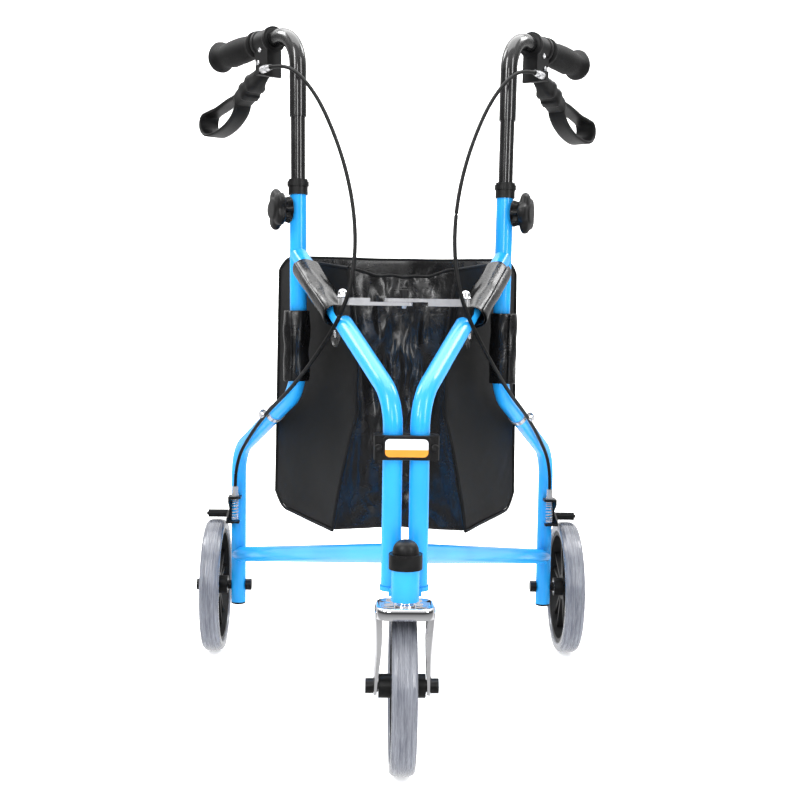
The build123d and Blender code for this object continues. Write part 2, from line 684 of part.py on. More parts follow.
# ---- rear brake: bracket, barrel, spring, arm and shoe ----
arm_pivot_y = rear_axle_y - 4.0
shoe_run = 18.0
shoe_r = 6.0
shoe_clear = 2.6
shoe_z = wheel_r + sqrt((wheel_r + shoe_r + shoe_clear) ** 2 - (shoe_run - 4.0) ** 2)
lug_z = 237.0
lug_t = 3.0
cable_x = 238.0
cable_y = rear_axle_y - 20.0
plate_x = leg_x + tube_r
brake_plate_t = 2.5
with BuildPart() as brake_bracket:
    with BuildSketch(Plane.YZ.offset(plate_x)):
        with BuildLine():
            Polyline((arm_pivot_y - 6, shoe_z - 8), (arm_pivot_y + 7, shoe_z - 8), (arm_pivot_y + 9, shoe_z + 14),
                     (cable_y + 14, lug_z + lug_t), (cable_y - 9, lug_z + lug_t), (cable_y - 9, lug_z - 5),
                     (arm_pivot_y - 6, shoe_z + 12), (arm_pivot_y - 6, shoe_z - 8))
        make_face()
    extrude(amount=brake_plate_t)
    with BuildSketch(Plane.XY.offset(lug_z)):
        with Locations(((cable_x - 9 + plate_x + brake_plate_t) / 2, cable_y)):
            Rectangle(plate_x + brake_plate_t - cable_x + 9, 17.0)
    extrude(amount=lug_t)
    with BuildSketch(Plane.XY.offset(lug_z - 1)):
        with Locations((cable_x, cable_y)):
            Circle(3.6)
    extrude(amount=lug_t + 2, mode=Mode.SUBTRACT)
    with BuildSketch(Plane.YZ.offset(plate_x)):
        with Locations((arm_pivot_y, shoe_z)):
            Circle(3.0)
    extrude(amount=brake_plate_t, mode=Mode.SUBTRACT)
    add(upright_solid.part, mode=Mode.SUBTRACT)
write_pair(brake_bracket, "brake_bracket")

barrel_base_z = lug_z + lug_t
with BuildPart() as lower_barrel:
    for start_z, end_z, radius in ((lug_z, barrel_base_z, 3.6), (barrel_base_z, barrel_base_z + 4, 5.2),
                                   (barrel_base_z + 4, barrel_base_z + 15, 4.4)):
        with BuildSketch(Plane.XY.offset(start_z)):
            with Locations((cable_x, cable_y)):
                Circle(radius)
        extrude(amount=end_z - start_z)
    with BuildSketch(Plane.XY.offset(lug_z)):
        with Locations((cable_x, cable_y)):
            Circle(cable_bore_r)
    extrude(amount=30, mode=Mode.SUBTRACT)
write_pair(lower_barrel, "lower_barrel")

arm_plate_x = plate_x + brake_plate_t + gap
arm_t = 2.5
tab_z = shoe_z - 5.0
with BuildPart() as brake_arm:
    with BuildSketch(Plane.YZ.offset(arm_plate_x)):
        with BuildLine():
            Polyline((cable_y - 6, tab_z - 3), (arm_pivot_y, shoe_z - 7), (arm_pivot_y + shoe_run + 4, shoe_z - 5),
                     (arm_pivot_y + shoe_run + 4, shoe_z + 6), (arm_pivot_y, shoe_z + 7), (cable_y - 6, tab_z + 5),
                     (cable_y - 6, tab_z - 3))
        make_face()
    extrude(amount=arm_t)
    with BuildSketch(Plane.XY.offset(tab_z - 3)):
        with Locations(((cable_x - 7 + arm_plate_x + arm_t) / 2, cable_y - 3.0)):
            Rectangle(arm_plate_x + arm_t - cable_x + 7, 12.0)
    extrude(amount=3.0)
    with BuildSketch(Plane.YZ.offset(plate_x + running)):
        with Locations((arm_pivot_y, shoe_z)):
            Circle(3.0 - running)
    extrude(amount=arm_plate_x + arm_t - plate_x + 1.5)
    with BuildSketch(Plane.YZ.offset(arm_plate_x)):
        with Locations((arm_pivot_y + shoe_run, shoe_z)):
            Circle(2.5)
    extrude(amount=36.0)
    with BuildSketch(Plane.XY.offset(tab_z - 4)):
        with Locations((cable_x, cable_y)):
            Circle(1.5)
    extrude(amount=6, mode=Mode.SUBTRACT)
    add(upright_solid.part, mode=Mode.SUBTRACT)
write_pair(brake_arm, "brake_arm")

shoe_len = 30.0
with BuildPart() as brake_shoe:
    with BuildSketch(Plane.YZ.offset(arm_plate_x + arm_t + 1)):
        with Locations((arm_pivot_y + shoe_run, shoe_z)):
            Circle(shoe_r)
            Circle(2.5, mode=Mode.SUBTRACT)
            with PolarLocations(shoe_r + 0.4, 14):
                Circle(0.9, mode=Mode.SUBTRACT)
    extrude(amount=shoe_len)
write_pair(brake_shoe, "brake_shoe")

spring_top_z = lug_z - gap
spring_foot_z = tab_z + gap
spring_coil_r = 4.6
spring_wire_r = 0.7
with BuildPart() as brake_spring:
    spring_pitch = (spring_top_z - spring_foot_z - 2 * spring_wire_r) / 7
    with BuildLine(Plane((cable_x, cable_y, spring_foot_z + spring_wire_r))):
        coil = Helix(spring_pitch, spring_pitch * 7, spring_coil_r)
    with BuildSketch(Plane(coil @ 0, z_dir=coil % 0)):
        Circle(spring_wire_r)
    sweep(path=coil, is_frenet=True)
write_pair(brake_spring, "brake_spring")

# ---- brake cable: one fixed length from the handle's barrel to the brake's barrel ----
cable_route = [(177.0, 43.5, 842.0), (157.0, 15.0, 841.0), (135.0, -12.0, 825.0), (112.0, -36.0, 791.0),
               (94.0, -59.0, 745.0), (80.0, -84.0, 697.0), (71.0, -108.0, 648.0), (68.0, -130.0, 600.0),
               (73.0, -144.0, 553.0), (89.0, -144.0, 511.0), (112.0, -111.0, 476.0), (135.0, -58.0, 444.0),
               (157.0, 0.0, 416.0), (179.0, 60.0, 391.0), (198.0, 110.0, 364.0), (215.0, 155.0, 335.0),
               (228.0, 190.0, 309.0), (236.0, 213.0, 281.0), (238.0, 221.0, 258.0), (238.0, 221.0, 241.0)]


def corner_radii(route):
    """Arc radius at each corner: 0.45 of the shorter run over the tangent of half the turn."""
    radii = []
    for before, here, after in zip(route, route[1:], route[2:]):
        run_in = Vector(here) - Vector(before)
        run_out = Vector(after) - Vector(here)
        half_turn = radians(run_in.get_angle(run_out)) / 2
        radii.append(0.45 * min(run_in.length, run_out.length) / tan(half_turn))
    return radii


cable_radii = corner_radii(cable_route)
print("cable arc radii, mm:", [round(radius) for radius in cable_radii])
cable = swept([Vector(point) for point in cable_route], cable_radii, cable_r)
write_pair(cable, "cable")

# ---- clip that holds the cable on the frame ----
clip_run = 384.0
clip_axis = (side_point(leg_run, leg_bend_z) - side_point(upright_run, upright_bend_z)).normalized()
clip_z = upright_bend_z - (clip_run - upright_run) * leg_slope
clip_w = 10.0
clip_t = 1.3
clip_spot = side_point(clip_run, clip_z) - clip_axis * (clip_w / 2)
clip_plane = Plane(clip_spot, x_dir=side_plane().z_dir, z_dir=clip_axis)
eye_out = 19.6
with BuildPart() as p_clip:
    with BuildSketch(clip_plane):
        Circle(tube_r + clip_t)
        with Locations((tube_r + clip_t + 1.0, 0)):
            Rectangle(10, 3.2)
        with Locations((eye_out, 0)):
            Circle(cable_r + 2.4)
        Circle(tube_r, mode=Mode.SUBTRACT)
        with Locations((eye_out, 0)):
            Circle(cable_r + 1.2, mode=Mode.SUBTRACT)
    extrude(amount=clip_w)
write_pair(p_clip, "p_clip")

# ---- bag: open-topped, tapering towards the front ----
bag_front_run = 212.0
bag_rear_run = 425.0
bag_foot_z = 242.0
bag_top_z = 598.0
bag_inset = 17.0
bag_bulge = 4.0
bag_corner_r = 14.0
bag_wall = 3.0


def bag_outline(height, inset):
    front = side_point(bag_front_run, height)
    rear = side_point(bag_rear_run, height)
    return [(front.X - inset, front.Y), (rear.X - inset, rear.Y),
            (inset - rear.X, rear.Y), (inset - front.X, front.Y)]


def bag_loft(foot_z, top_z, wall, corner_r):
    """Tapered block between two heights, set in by the wall."""
    with BuildPart() as block:
        for height in (foot_z, top_z):
            bulge = bag_bulge * (bag_top_z - height) / (bag_top_z - bag_foot_z)
            with BuildSketch(Plane.XY.offset(height)):
                Polygon(*bag_outline(height, bag_inset - bulge), align=None)
                offset(amount=-wall)
        loft()
        fillet(block.edges().filter_by(lambda edge: abs(edge.tangent_at(0).Z) > 0.9), corner_r)
    return block


with BuildPart() as bag:
    add(bag_loft(bag_foot_z, bag_top_z, 0.0, bag_corner_r).part)
    add(bag_loft(bag_foot_z + bag_wall, bag_top_z, bag_wall, bag_corner_r - bag_wall).part, mode=Mode.SUBTRACT)
write(bag, "bag")
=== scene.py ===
import json
import math
import bpy
import bmesh
from mathutils import Matrix, Vector, noise


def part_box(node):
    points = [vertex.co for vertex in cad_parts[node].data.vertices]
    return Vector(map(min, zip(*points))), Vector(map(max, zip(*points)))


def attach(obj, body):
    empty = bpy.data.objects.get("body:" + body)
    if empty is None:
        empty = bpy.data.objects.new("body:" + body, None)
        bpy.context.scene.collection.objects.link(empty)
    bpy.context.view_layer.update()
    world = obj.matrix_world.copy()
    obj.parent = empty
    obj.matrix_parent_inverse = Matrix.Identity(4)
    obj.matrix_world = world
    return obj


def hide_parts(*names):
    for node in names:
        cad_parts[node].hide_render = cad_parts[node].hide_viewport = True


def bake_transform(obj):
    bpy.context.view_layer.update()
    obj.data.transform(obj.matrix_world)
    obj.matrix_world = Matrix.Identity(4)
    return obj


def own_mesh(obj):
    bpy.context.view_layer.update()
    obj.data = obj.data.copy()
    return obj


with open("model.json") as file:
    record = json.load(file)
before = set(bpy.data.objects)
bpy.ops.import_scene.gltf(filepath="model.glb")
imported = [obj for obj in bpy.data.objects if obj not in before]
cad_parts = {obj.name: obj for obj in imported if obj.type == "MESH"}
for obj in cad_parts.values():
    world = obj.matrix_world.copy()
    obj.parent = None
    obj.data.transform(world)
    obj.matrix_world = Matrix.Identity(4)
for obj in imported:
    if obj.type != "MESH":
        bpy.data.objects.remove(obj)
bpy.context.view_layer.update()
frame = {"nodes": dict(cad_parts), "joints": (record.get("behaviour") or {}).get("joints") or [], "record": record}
print("frame loaded")

sides = {"left": 1, "right": -1}
joints = {joint["name"]: joint for joint in frame["joints"]}


# small helpers for places on the folding frames
class SideFrame:
    # run is measured along the side frame from its hinge, out away from its plane
    def __init__(self, name):
        self.name = name
        self.mirror = sides[name]
        self.hinge = Vector(joints["fold_" + name]["pos_m"])
        knobAxis = Vector(joints[name + "_knob_turn"]["axis"])
        self.outward = Vector((abs(knobAxis.x) * self.mirror, -abs(knobAxis.y), 0)).normalized()
        self.along = Vector((-self.outward.y * self.mirror, abs(self.outward.x), 0)).normalized()

    def point(self, run, height, out=0.0):
        spot = self.hinge + self.along * run + self.outward * out
        return Vector((spot.x, spot.y, height))


frames = {name: SideFrame(name) for name in sides}


def onBothSides(make, stage):
    for side in sides:
        make(side)
    print(stage)


def upDirection(name):
    return Vector(joints[name + "_height"]["axis"]).normalized()


# mesh helpers
def newMesh(name, points, faces, smooth=True):
    mesh = bpy.data.meshes.new(name)
    mesh.from_pydata([tuple(point) for point in points], [], faces)
    mesh.update()
    piece = bpy.data.objects.new(name, mesh)
    bpy.context.scene.collection.objects.link(piece)
    for polygon in mesh.polygons:
        polygon.use_smooth = smooth
    return piece


def gridFaces(rows, columns, closed=False, start=0, looped=False):
    # closed joins the last column to the first, looped the last row to the first
    faces = []
    for row in range(rows if looped else rows - 1):
        here, there = start + row * columns, start + (row + 1) % rows * columns
        for column in range(columns if closed else columns - 1):
            following = (column + 1) % columns
            faces.append((here + column, here + following, there + following, there + column))
    return faces


def faceOutward(piece):
    sculpt = bmesh.new()
    sculpt.from_mesh(piece.data)
    bmesh.ops.recalc_face_normals(sculpt, faces=sculpt.faces)
    sculpt.to_mesh(piece.data)
    sculpt.free()
    return piece


def applyModifiers(piece):
    bpy.context.view_layer.update()
    depsgraph = bpy.context.evaluated_depsgraph_get()
    finished = bpy.data.meshes.new_from_object(piece.evaluated_get(depsgraph))
    piece.modifiers.clear()
    piece.data = finished
    return piece


def subdivide(piece, levels=1):
    modifier = piece.modifiers.new("subdivision", "SUBSURF")
    modifier.levels = levels
    modifier.render_levels = levels
    return piece


def thicken(piece, thickness, offset=-1.0):
    modifier = piece.modifiers.new("thickness", "SOLIDIFY")
    modifier.thickness = thickness
    modifier.offset = offset
    return piece


def sideways(direction):
    helper = Vector((0, 0, 1)) if abs(direction.z) < 0.9 else Vector((1, 0, 0))
    across = direction.cross(helper).normalized()
    return across, direction.cross(across).normalized()


def turned(name, base, direction, profile, steps=32, shape=None):
    # profile is a list of (distance along, radius); shape(angle, along) scales the radius
    across, over = sideways(direction)
    points = []
    for along, radius in profile:
        for step in range(steps):
            angle = 2 * math.pi * step / steps
            reach = radius * (shape(angle, along) if shape else 1.0)
            points.append(base + direction * along + across * reach * math.cos(angle)
                          + over * reach * math.sin(angle))
    faces = gridFaces(len(profile), steps, closed=True)
    faces.append(tuple(reversed(range(steps))))
    faces.append(tuple(range((len(profile) - 1) * steps, len(profile) * steps)))
    return faceOutward(newMesh(name, points, faces))


def sleeve(name, path, radius, steps=20, wobble=0.0, seed=0.0):
    # a soft tube round a path
    points = []
    for index, spot in enumerate(path):
        before = path[max(index - 1, 0)]
        after = path[min(index + 1, len(path) - 1)]
        across, over = sideways((after - before).normalized())
        for step in range(steps):
            angle = 2 * math.pi * step / steps
            crease = noise.noise(Vector((math.cos(angle) * 1.3, math.sin(angle) * 1.3,
                                         index * 0.35 + seed)))
            reach = radius + wobble * crease
            points.append(spot + across * reach * math.cos(angle) + over * reach * math.sin(angle))
    return faceOutward(newMesh(name, points, gridFaces(len(path), steps, closed=True)))


def cordCurve(name, points, radius, order=3):
    curve = bpy.data.curves.new(name, "CURVE")
    curve.dimensions = "3D"
    curve.bevel_depth = radius
    curve.bevel_resolution = 4
    curve.resolution_u = 12
    curve.use_fill_caps = True
    spline = curve.splines.new("NURBS")
    spline.points.add(len(points) - 1)
    for place, point in zip(spline.points, points):
        place.co = (point[0], point[1], point[2], 1.0)
    spline.order_u = order
    spline.use_endpoint_u = True
    piece = bpy.data.objects.new(name, curve)
    bpy.context.scene.collection.objects.link(piece)
    return piece


# shader helpers
class Wire:
    # a shader socket on which sums can be written as expressions
    def __init__(self, tree, socket):
        self.tree = tree
        self.socket = socket

    def maths(self, operation, first, second=None):
        node = self.tree.nodes.new("ShaderNodeMath")
        node.operation = operation
        for place, value in enumerate((first, second)):
            if isinstance(value, Wire):
                self.tree.links.new(value.socket, node.inputs[place])
            elif value is not None:
                node.inputs[place].default_value = value
        return Wire(self.tree, node.outputs[0])

    def __add__(self, other):
        return self.maths("ADD", self, other)

    def __radd__(self, other):
        return self.maths("ADD", other, self)

    def __sub__(self, other):
        return self.maths("SUBTRACT", self, other)

    def __rsub__(self, other):
        return self.maths("SUBTRACT", other, self)

    def __mul__(self, other):
        return self.maths("MULTIPLY", self, other)

    def __rmul__(self, other):
        return self.maths("MULTIPLY", other, self)

    def above(self, limit, softness):
        return self.maths("MINIMUM", self.maths("MAXIMUM", (self - limit) * (1.0 / softness), 0.0), 1.0)


class NodeBench:
    # every node but the sums comes from the one method here
    def __init__(self, tree, space):
        self.tree = tree
        self.spot = self.node("ShaderNodeTexCoord", out=space)

    def node(self, kind, settings=None, inputs=None, out=0):
        made = self.tree.nodes.new(kind)
        for key, value in (settings or {}).items():
            if key == "stops":
                for index, (position, shade) in enumerate(value):
                    ramp = made.color_ramp.elements
                    stop = ramp[index] if index < 2 else ramp.new(position)
                    stop.position = position
                    stop.color = shade
            else:
                setattr(made, key, value)
        for key, value in (inputs or {}).items():
            if isinstance(value, Wire):
                self.tree.links.new(value.socket, made.inputs[key])
            else:
                made.inputs[key].default_value = value
        return Wire(self.tree, made.outputs[out])

    def split(self, vector):
        parts = self.node("ShaderNodeSeparateXYZ", {}, {0: vector}).socket.node
        return [Wire(self.tree, socket) for socket in parts.outputs]

    def stretch(self, scale, source=None):
        return self.node("ShaderNodeVectorMath", {"operation": "MULTIPLY"},
                         {0: source or self.spot, 1: scale})

    def noise(self, scale, detail=3.0, roughness=0.5, source=None, distortion=0.0):
        return self.node("ShaderNodeTexNoise", {},
                         {"Vector": source or self.spot, "Scale": scale, "Detail": detail,
                          "Roughness": roughness, "Distortion": distortion})

    def mix(self, amount, first, second):
        return self.node("ShaderNodeMix", {"data_type": "RGBA"}, {0: amount, 6: first, 7: second}, out=2)


class Finish(NodeBench):
    # one procedural material: constants are set on the shader's own sockets
    def __init__(self, name, **constants):
        self.material = bpy.data.materials.new(name)
        self.material.use_nodes = True
        super().__init__(self.material.node_tree, "Object")
        self.shader = self.tree.nodes["Principled BSDF"]
        for socket, value in constants.items():
            self.shader.inputs[socket.replace("_", " ")].default_value = value

    def feed(self, socket, wire):
        self.tree.links.new(wire.socket, self.shader.inputs[socket])

    def bump(self, height, distance, strength=1.0):
        self.feed("Normal", self.node("ShaderNodeBump", {}, {"Height": height, "Distance": distance,
                                                             "Strength": strength}))


def colour(red, green, blue):
    return (red, green, blue, 1.0)


paintLook = {"blue": colour(0.020, 0.365, 0.860), "deepBlue": colour(0.012, 0.300, 0.780),
             "roughness": 0.20, "peelSize": 260.0, "peelDepth": 0.00006}
blackLook = {"paint": (0.006, 0.015), "plastic": (0.006, 0.015), "rubber": (0.005, 0.014),
             "sheath": (0.005, 0.012), "steel": (0.010, 0.045), "vinyl": (0.004, 0.009),
             "cloth": (0.006, 0.012)}
steelLook = {"zinc": (0.72, 0.50), "chrome": (0.86, 0.66)}


def greyMix(look, amount, pair, tint=1.03):
    first, second = (colour(value, value, value * tint) for value in pair)
    return look.mix(amount, first, second)


def bluePaint():
    look = Finish("blueEnamel", Coat_Weight=0.35, Coat_Roughness=0.06, IOR=1.45)
    drift = look.noise(9.0, 2.0)
    look.feed("Base Color", look.mix(drift.above(0.35, 0.4), paintLook["blue"], paintLook["deepBlue"]))
    dust = look.noise(60.0, 6.0, 0.65)
    look.feed("Roughness", dust * 0.10 + paintLook["roughness"])
    look.bump(look.noise(paintLook["peelSize"], 2.0), paintLook["peelDepth"], 0.5)
    return look.material


def blackPaint():
    look = Finish("blackPowderCoat", Coat_Weight=0.6, Coat_Roughness=0.07)
    look.feed("Base Color", greyMix(look, look.noise(35.0, 5.0, 0.6).above(0.45, 0.4), blackLook["paint"]))
    look.feed("Roughness", look.noise(80.0, 4.0) * 0.12 + 0.18)
    look.bump(look.noise(420.0, 2.0), 0.00005, 0.5)
    return look.material


def blackPlastic():
    look = Finish("mouldedPlastic", IOR=1.45, Specular_IOR_Level=0.35)
    wear = look.noise(26.0, 5.0, 0.65)
    look.feed("Base Color", greyMix(look, wear.above(0.5, 0.3), blackLook["plastic"]))
    look.feed("Roughness", wear * 0.16 + 0.32)
    look.bump(look.noise(1400.0, 3.0, 0.6), 0.00012, 0.7)
    return look.material


def blackRubber():
    look = Finish("gripRubber", IOR=1.42, Specular_IOR_Level=0.25)
    wear = look.noise(30.0, 5.0, 0.6)
    look.feed("Base Color", greyMix(look, wear.above(0.45, 0.35), blackLook["rubber"]))
    look.feed("Roughness", wear * 0.2 + 0.48)
    cells = look.node("ShaderNodeTexVoronoi", {"feature": "F1"}, {"Vector": look.spot, "Scale": 900.0})
    look.bump(cells, 0.0003, 0.8)
    return look.material


def cableSheath():
    look = Finish("cableSheath", IOR=1.45, Specular_IOR_Level=0.2)
    scuff = look.noise(120.0, 4.0, 0.6)
    look.feed("Base Color", greyMix(look, scuff.above(0.5, 0.3), blackLook["sheath"]))
    look.feed("Roughness", scuff * 0.15 + 0.36)
    look.bump(scuff, 0.0001, 0.4)
    return look.material


def blackSteel():
    look = Finish("blackenedSteel", Metallic=0.5)
    patch = look.noise(180.0, 5.0, 0.6)
    look.feed("Base Color", greyMix(look, patch.above(0.55, 0.2), blackLook["steel"]))
    look.feed("Roughness", patch * 0.2 + 0.26)
    look.bump(look.noise(700.0, 3.0), 0.0001, 0.5)
    return look.material


def brightSteel():
    look = Finish("zincPlatedSteel", Metallic=0.72)
    lines = look.noise(160.0, 4.0, 0.7, look.stretch((1.0, 1.0, 9.0)))
    look.feed("Base Color",
              greyMix(look, look.noise(45.0, 5.0, 0.65).above(0.5, 0.3), steelLook["zinc"], 1.02))
    look.feed("Roughness", lines * 0.20 + 0.12)
    look.bump(lines, 0.00006, 0.5)
    return look.material


def chrome():
    look = Finish("chromePlate", Metallic=1.0)
    smear = look.noise(24.0, 5.0, 0.65)
    look.feed("Base Color", greyMix(look, smear.above(0.5, 0.3), steelLook["chrome"], 1.03))
    look.feed("Roughness", smear.above(0.45, 0.4) * 0.08 + 0.03)
    look.bump(look.noise(70.0, 2.0), 0.00015, 0.35)
    return look.material


tyreLook = {"pale": colour(0.215, 0.226, 0.258), "dark": colour(0.098, 0.105, 0.130),
            "streaks": 400.0, "turns": 1.5}


def tyreRubber(name, axle):
    look = Finish("tyre_" + name, IOR=1.49, Coat_Weight=0.6, Coat_Roughness=0.10)
    local = look.node("ShaderNodeVectorMath", {"operation": "SUBTRACT"}, {0: look.spot, 1: axle})
    across = look.split(local)[0]
    spoke = look.node("ShaderNodeVectorMath", {"operation": "MULTIPLY"}, {0: local, 1: (0.0, 1.0, 1.0)})
    spoke = look.node("ShaderNodeVectorMath", {"operation": "NORMALIZE"}, {0: spoke})
    ahead, above = look.split(spoke)[1:]
    belt = look.node("ShaderNodeCombineXYZ", {},
                     {"X": across * tyreLook["streaks"], "Y": ahead * tyreLook["turns"],
                      "Z": above * tyreLook["turns"]})
    streak = look.noise(1.0, 4.0, 0.6, belt)
    fine = look.noise(4.0, 3.0, 0.6, belt)
    look.feed("Base Color", look.mix(streak.above(0.34, 0.34), tyreLook["dark"], tyreLook["pale"]))
    look.feed("Roughness", fine * 0.22 + 0.16)
    look.bump(streak + fine * 0.4, 0.0011, 0.6)
    return look.material


def vinyl():
    look = Finish("bagVinyl", IOR=1.5, Coat_Weight=0.22, Coat_Roughness=0.12)
    crease = look.noise(34.0, 6.0, 0.62, None, 0.6)
    grain = look.node("ShaderNodeTexVoronoi", {"feature": "F1"}, {"Vector": look.spot, "Scale": 700.0})
    look.feed("Base Color", greyMix(look, crease.above(0.5, 0.3), blackLook["vinyl"], 1.1))
    look.feed("Roughness", crease * 0.24 + 0.14)
    look.bump(crease * 0.8 + grain * 0.03, 0.0030, 0.6)
    return look.material


def nylon():
    look = Finish("bagCloth", Specular_IOR_Level=0.18)
    weft = look.node("ShaderNodeTexWave", {"wave_type": "BANDS", "bands_direction": "Z"},
                     {"Vector": look.spot, "Scale": 420.0, "Distortion": 0.4})
    warp = look.node("ShaderNodeTexWave", {"wave_type": "BANDS", "bands_direction": "X"},
                     {"Vector": look.spot, "Scale": 420.0, "Distortion": 0.4})
    fade = look.noise(14.0, 4.0, 0.6)
    look.feed("Base Color", greyMix(look, fade.above(0.4, 0.4), blackLook["cloth"]))
    look.feed("Roughness", fade * 0.15 + 0.5)
    look.bump(weft * 0.5 + warp * 0.5 + fade * 2.0, 0.00035, 0.6)
    return look.material


materials = {"blue_paint": bluePaint(), "black_paint": blackPaint(), "black_plastic": blackPlastic(),
             "black_rubber": blackRubber(), "cable_sheath": cableSheath(), "black_steel": blackSteel(),
             "bright_steel": brightSteel(), "chrome": chrome(), "vinyl": vinyl(), "nylon": nylon()}
print("materials made")


def dress(piece, material):
    piece.data.materials.clear()
    piece.data.materials.append(material)
    return piece


slotOf = {entry["node"]: entry["material_slot"] for entry in frame["record"]["subparts"]}
for node, piece in frame["nodes"].items():
    finish = materials.get(slotOf[node])
    if finish:
        piece.data.materials.clear()
        piece.data.materials.append(finish)

frame["nodes"]["clamp_screws"].data.materials[0] = materials["black_steel"]  # painted shade: the recessed clamp screws get the dark steel finish to stand for the shade in their holes, so they are darker than the other screws

# camera, light and floor
cameraView = {"place": (-0.0519, -1.5886, 0.5427), "turn": 1.908, "dip": 4.874,
              "roll": 0.861, "lens": 54.38}


def addCamera():
    turn, dip, roll = (math.radians(cameraView[key]) for key in ("turn", "dip", "roll"))
    ahead = Vector((math.sin(turn) * math.cos(dip), math.cos(turn) * math.cos(dip), -math.sin(dip)))
    right = Vector((math.cos(turn), -math.sin(turn), 0))
    over = right.cross(ahead)
    rightTilted = right * math.cos(roll) + over * math.sin(roll)
    overTilted = over * math.cos(roll) - right * math.sin(roll)
    data = bpy.data.cameras.new("camera")
    data.lens = cameraView["lens"]
    data.sensor_width = 36.0
    eye = bpy.data.objects.new("camera", data)
    pose = Matrix((rightTilted, overTilted, -ahead)).transposed().to_4x4()
    pose.translation = cameraView["place"]
    eye.matrix_world = pose
    bpy.context.scene.collection.objects.link(eye)
    bpy.context.scene.camera = eye


def addLight(name, place, target, size, power):
    data = bpy.data.lights.new(name, "AREA")
    data.shape = "RECTANGLE"
    data.size, data.size_y = size
    data.energy = power
    lamp = bpy.data.objects.new(name, data)
    lamp.location = place
    lamp.rotation_euler = (Vector(target) - Vector(place)).to_track_quat("-Z", "Y").to_euler()
    bpy.context.scene.collection.objects.link(lamp)


studioLight = {"sky": [(0.0, 0.55), (0.40, 0.30), (0.49, 0.05), (0.60, 0.14), (0.80, 0.90)],
               "floorGlow": 0.50, "behind": (0.30, 0.35, 0.60),
               "lamps": [("key", (-1.9, -2.2, 2.3), (0, 0, 0.5), (0.6, 1.8), 54),
                         ("fill", (2.0, -1.9, 1.5), (0, 0, 0.4), (0.4, 1.8), 28),
                         ("front", (-0.3, -2.6, 1.2), (0, 0, 0.4), (0.35, 0.9), 10),
                         ("top", (0, 0.3, 3.0), (0, 0, 0.3), (2.6, 2.6), 72),
                         ("wallLeft", (-2.6, 1.2, 3.2), (-0.8, 3.2, 1.0), (2.0, 1.2), 80),
                         ("wallRight", (2.6, 1.2, 3.2), (0.8, 3.2, 1.0), (2.0, 1.2), 80)]}
studioWall = {"bend": 1.2, "depth": 3.2, "half": 7.0, "height": 5.0, "near": -8.0,
              "round": 6.5, "roundHeight": 9.0}


def addFloor():
    look = Finish("studioFloor", Roughness=0.9, Emission_Strength=studioLight["floorGlow"],
                  Emission_Color=colour(1, 1, 1))
    look.feed("Base Color",
              look.mix(look.noise(2.0, 2.0), colour(0.93, 0.93, 0.94), colour(0.95, 0.95, 0.95)))
    bend, depth = studioWall["bend"], studioWall["depth"]
    arc = [math.radians(7.5 * step) for step in range(13)]
    profile = [(studioWall["near"], 0.0)]
    profile += [(depth - bend + bend * math.sin(angle), bend - bend * math.cos(angle)) for angle in arc]
    profile.append((depth, studioWall["height"]))
    points = [(x, y, z) for y, z in profile for x in (-studioWall["half"], studioWall["half"])]
    floor = newMesh("floor", points, gridFaces(len(profile), 2))
    floor.data.materials.append(look.material)
    floor.visible_glossy = False  # keeps the blacks deep


def addBackdrop():
    # a plain round wall that lights and reflections miss, so that every side has the same background
    look = Finish("backdropPaper", Roughness=0.9, Emission_Strength=1.0, Emission_Color=colour(1, 1, 1))
    look.feed("Base Color",
              look.mix(look.noise(2.0, 2.0), colour(0.94, 0.94, 0.94), colour(0.95, 0.95, 0.95)))
    steps = 96
    angles = [2 * math.pi * step / steps for step in range(steps)]
    points = [(studioWall["round"] * math.cos(angle), studioWall["round"] * math.sin(angle), height)
              for height in (-0.05, studioWall["roundHeight"]) for angle in angles]
    backdrop = newMesh("backdrop", points, gridFaces(2, steps, closed=True))
    backdrop.data.materials.append(look.material)
    backdrop.visible_glossy = backdrop.visible_diffuse = backdrop.visible_shadow = False


def addStudio():
    addFloor()
    addBackdrop()
    world = bpy.data.worlds.new("studio")
    world.use_nodes = True
    sky = NodeBench(world.node_tree, "Generated")
    stops = [(position, colour(shade, shade, shade)) for position, shade in studioLight["sky"]]
    behind, up = sky.split(sky.spot)[1:]
    ramp = sky.node("ShaderNodeValToRGB", {"stops": stops}, {0: up * 0.5 + 0.5})
    start, softness, glow = studioLight["behind"]
    shade = ramp + behind.above(start, softness) * glow
    world.node_tree.links.new(shade.socket, world.node_tree.nodes["Background"].inputs[0])
    bpy.context.scene.world = world
    bpy.context.scene.view_settings.view_transform = "Standard"
    for name, place, target, size, power in studioLight["lamps"]:
        addLight(name, place, target, size, power)


addCamera()
addStudio()
print("studio ready")

# brake cables
cableRoute = [(0.177, 0.0435, 0.842), (0.157, 0.015, 0.841), (0.134, -0.012, 0.825),
              (0.109, -0.036, 0.791), (0.088, -0.059, 0.745), (0.072, -0.084, 0.697),
              (0.062, -0.108, 0.648), (0.059, -0.130, 0.600), (0.064, -0.144, 0.553),
              (0.080, -0.144, 0.511), (0.103, -0.113, 0.474), (0.126, -0.060, 0.442),
              (0.149, -0.002, 0.414), (0.173, 0.058, 0.389), (0.194, 0.109, 0.363), (0.213, 0.155, 0.335),
              (0.228, 0.190, 0.309), (0.236, 0.213, 0.281), (0.238, 0.221, 0.258), (0.238, 0.221, 0.241)]
cableSize = {"diameter": 0.005, "length": 0.921, "bendStart": 0.45}


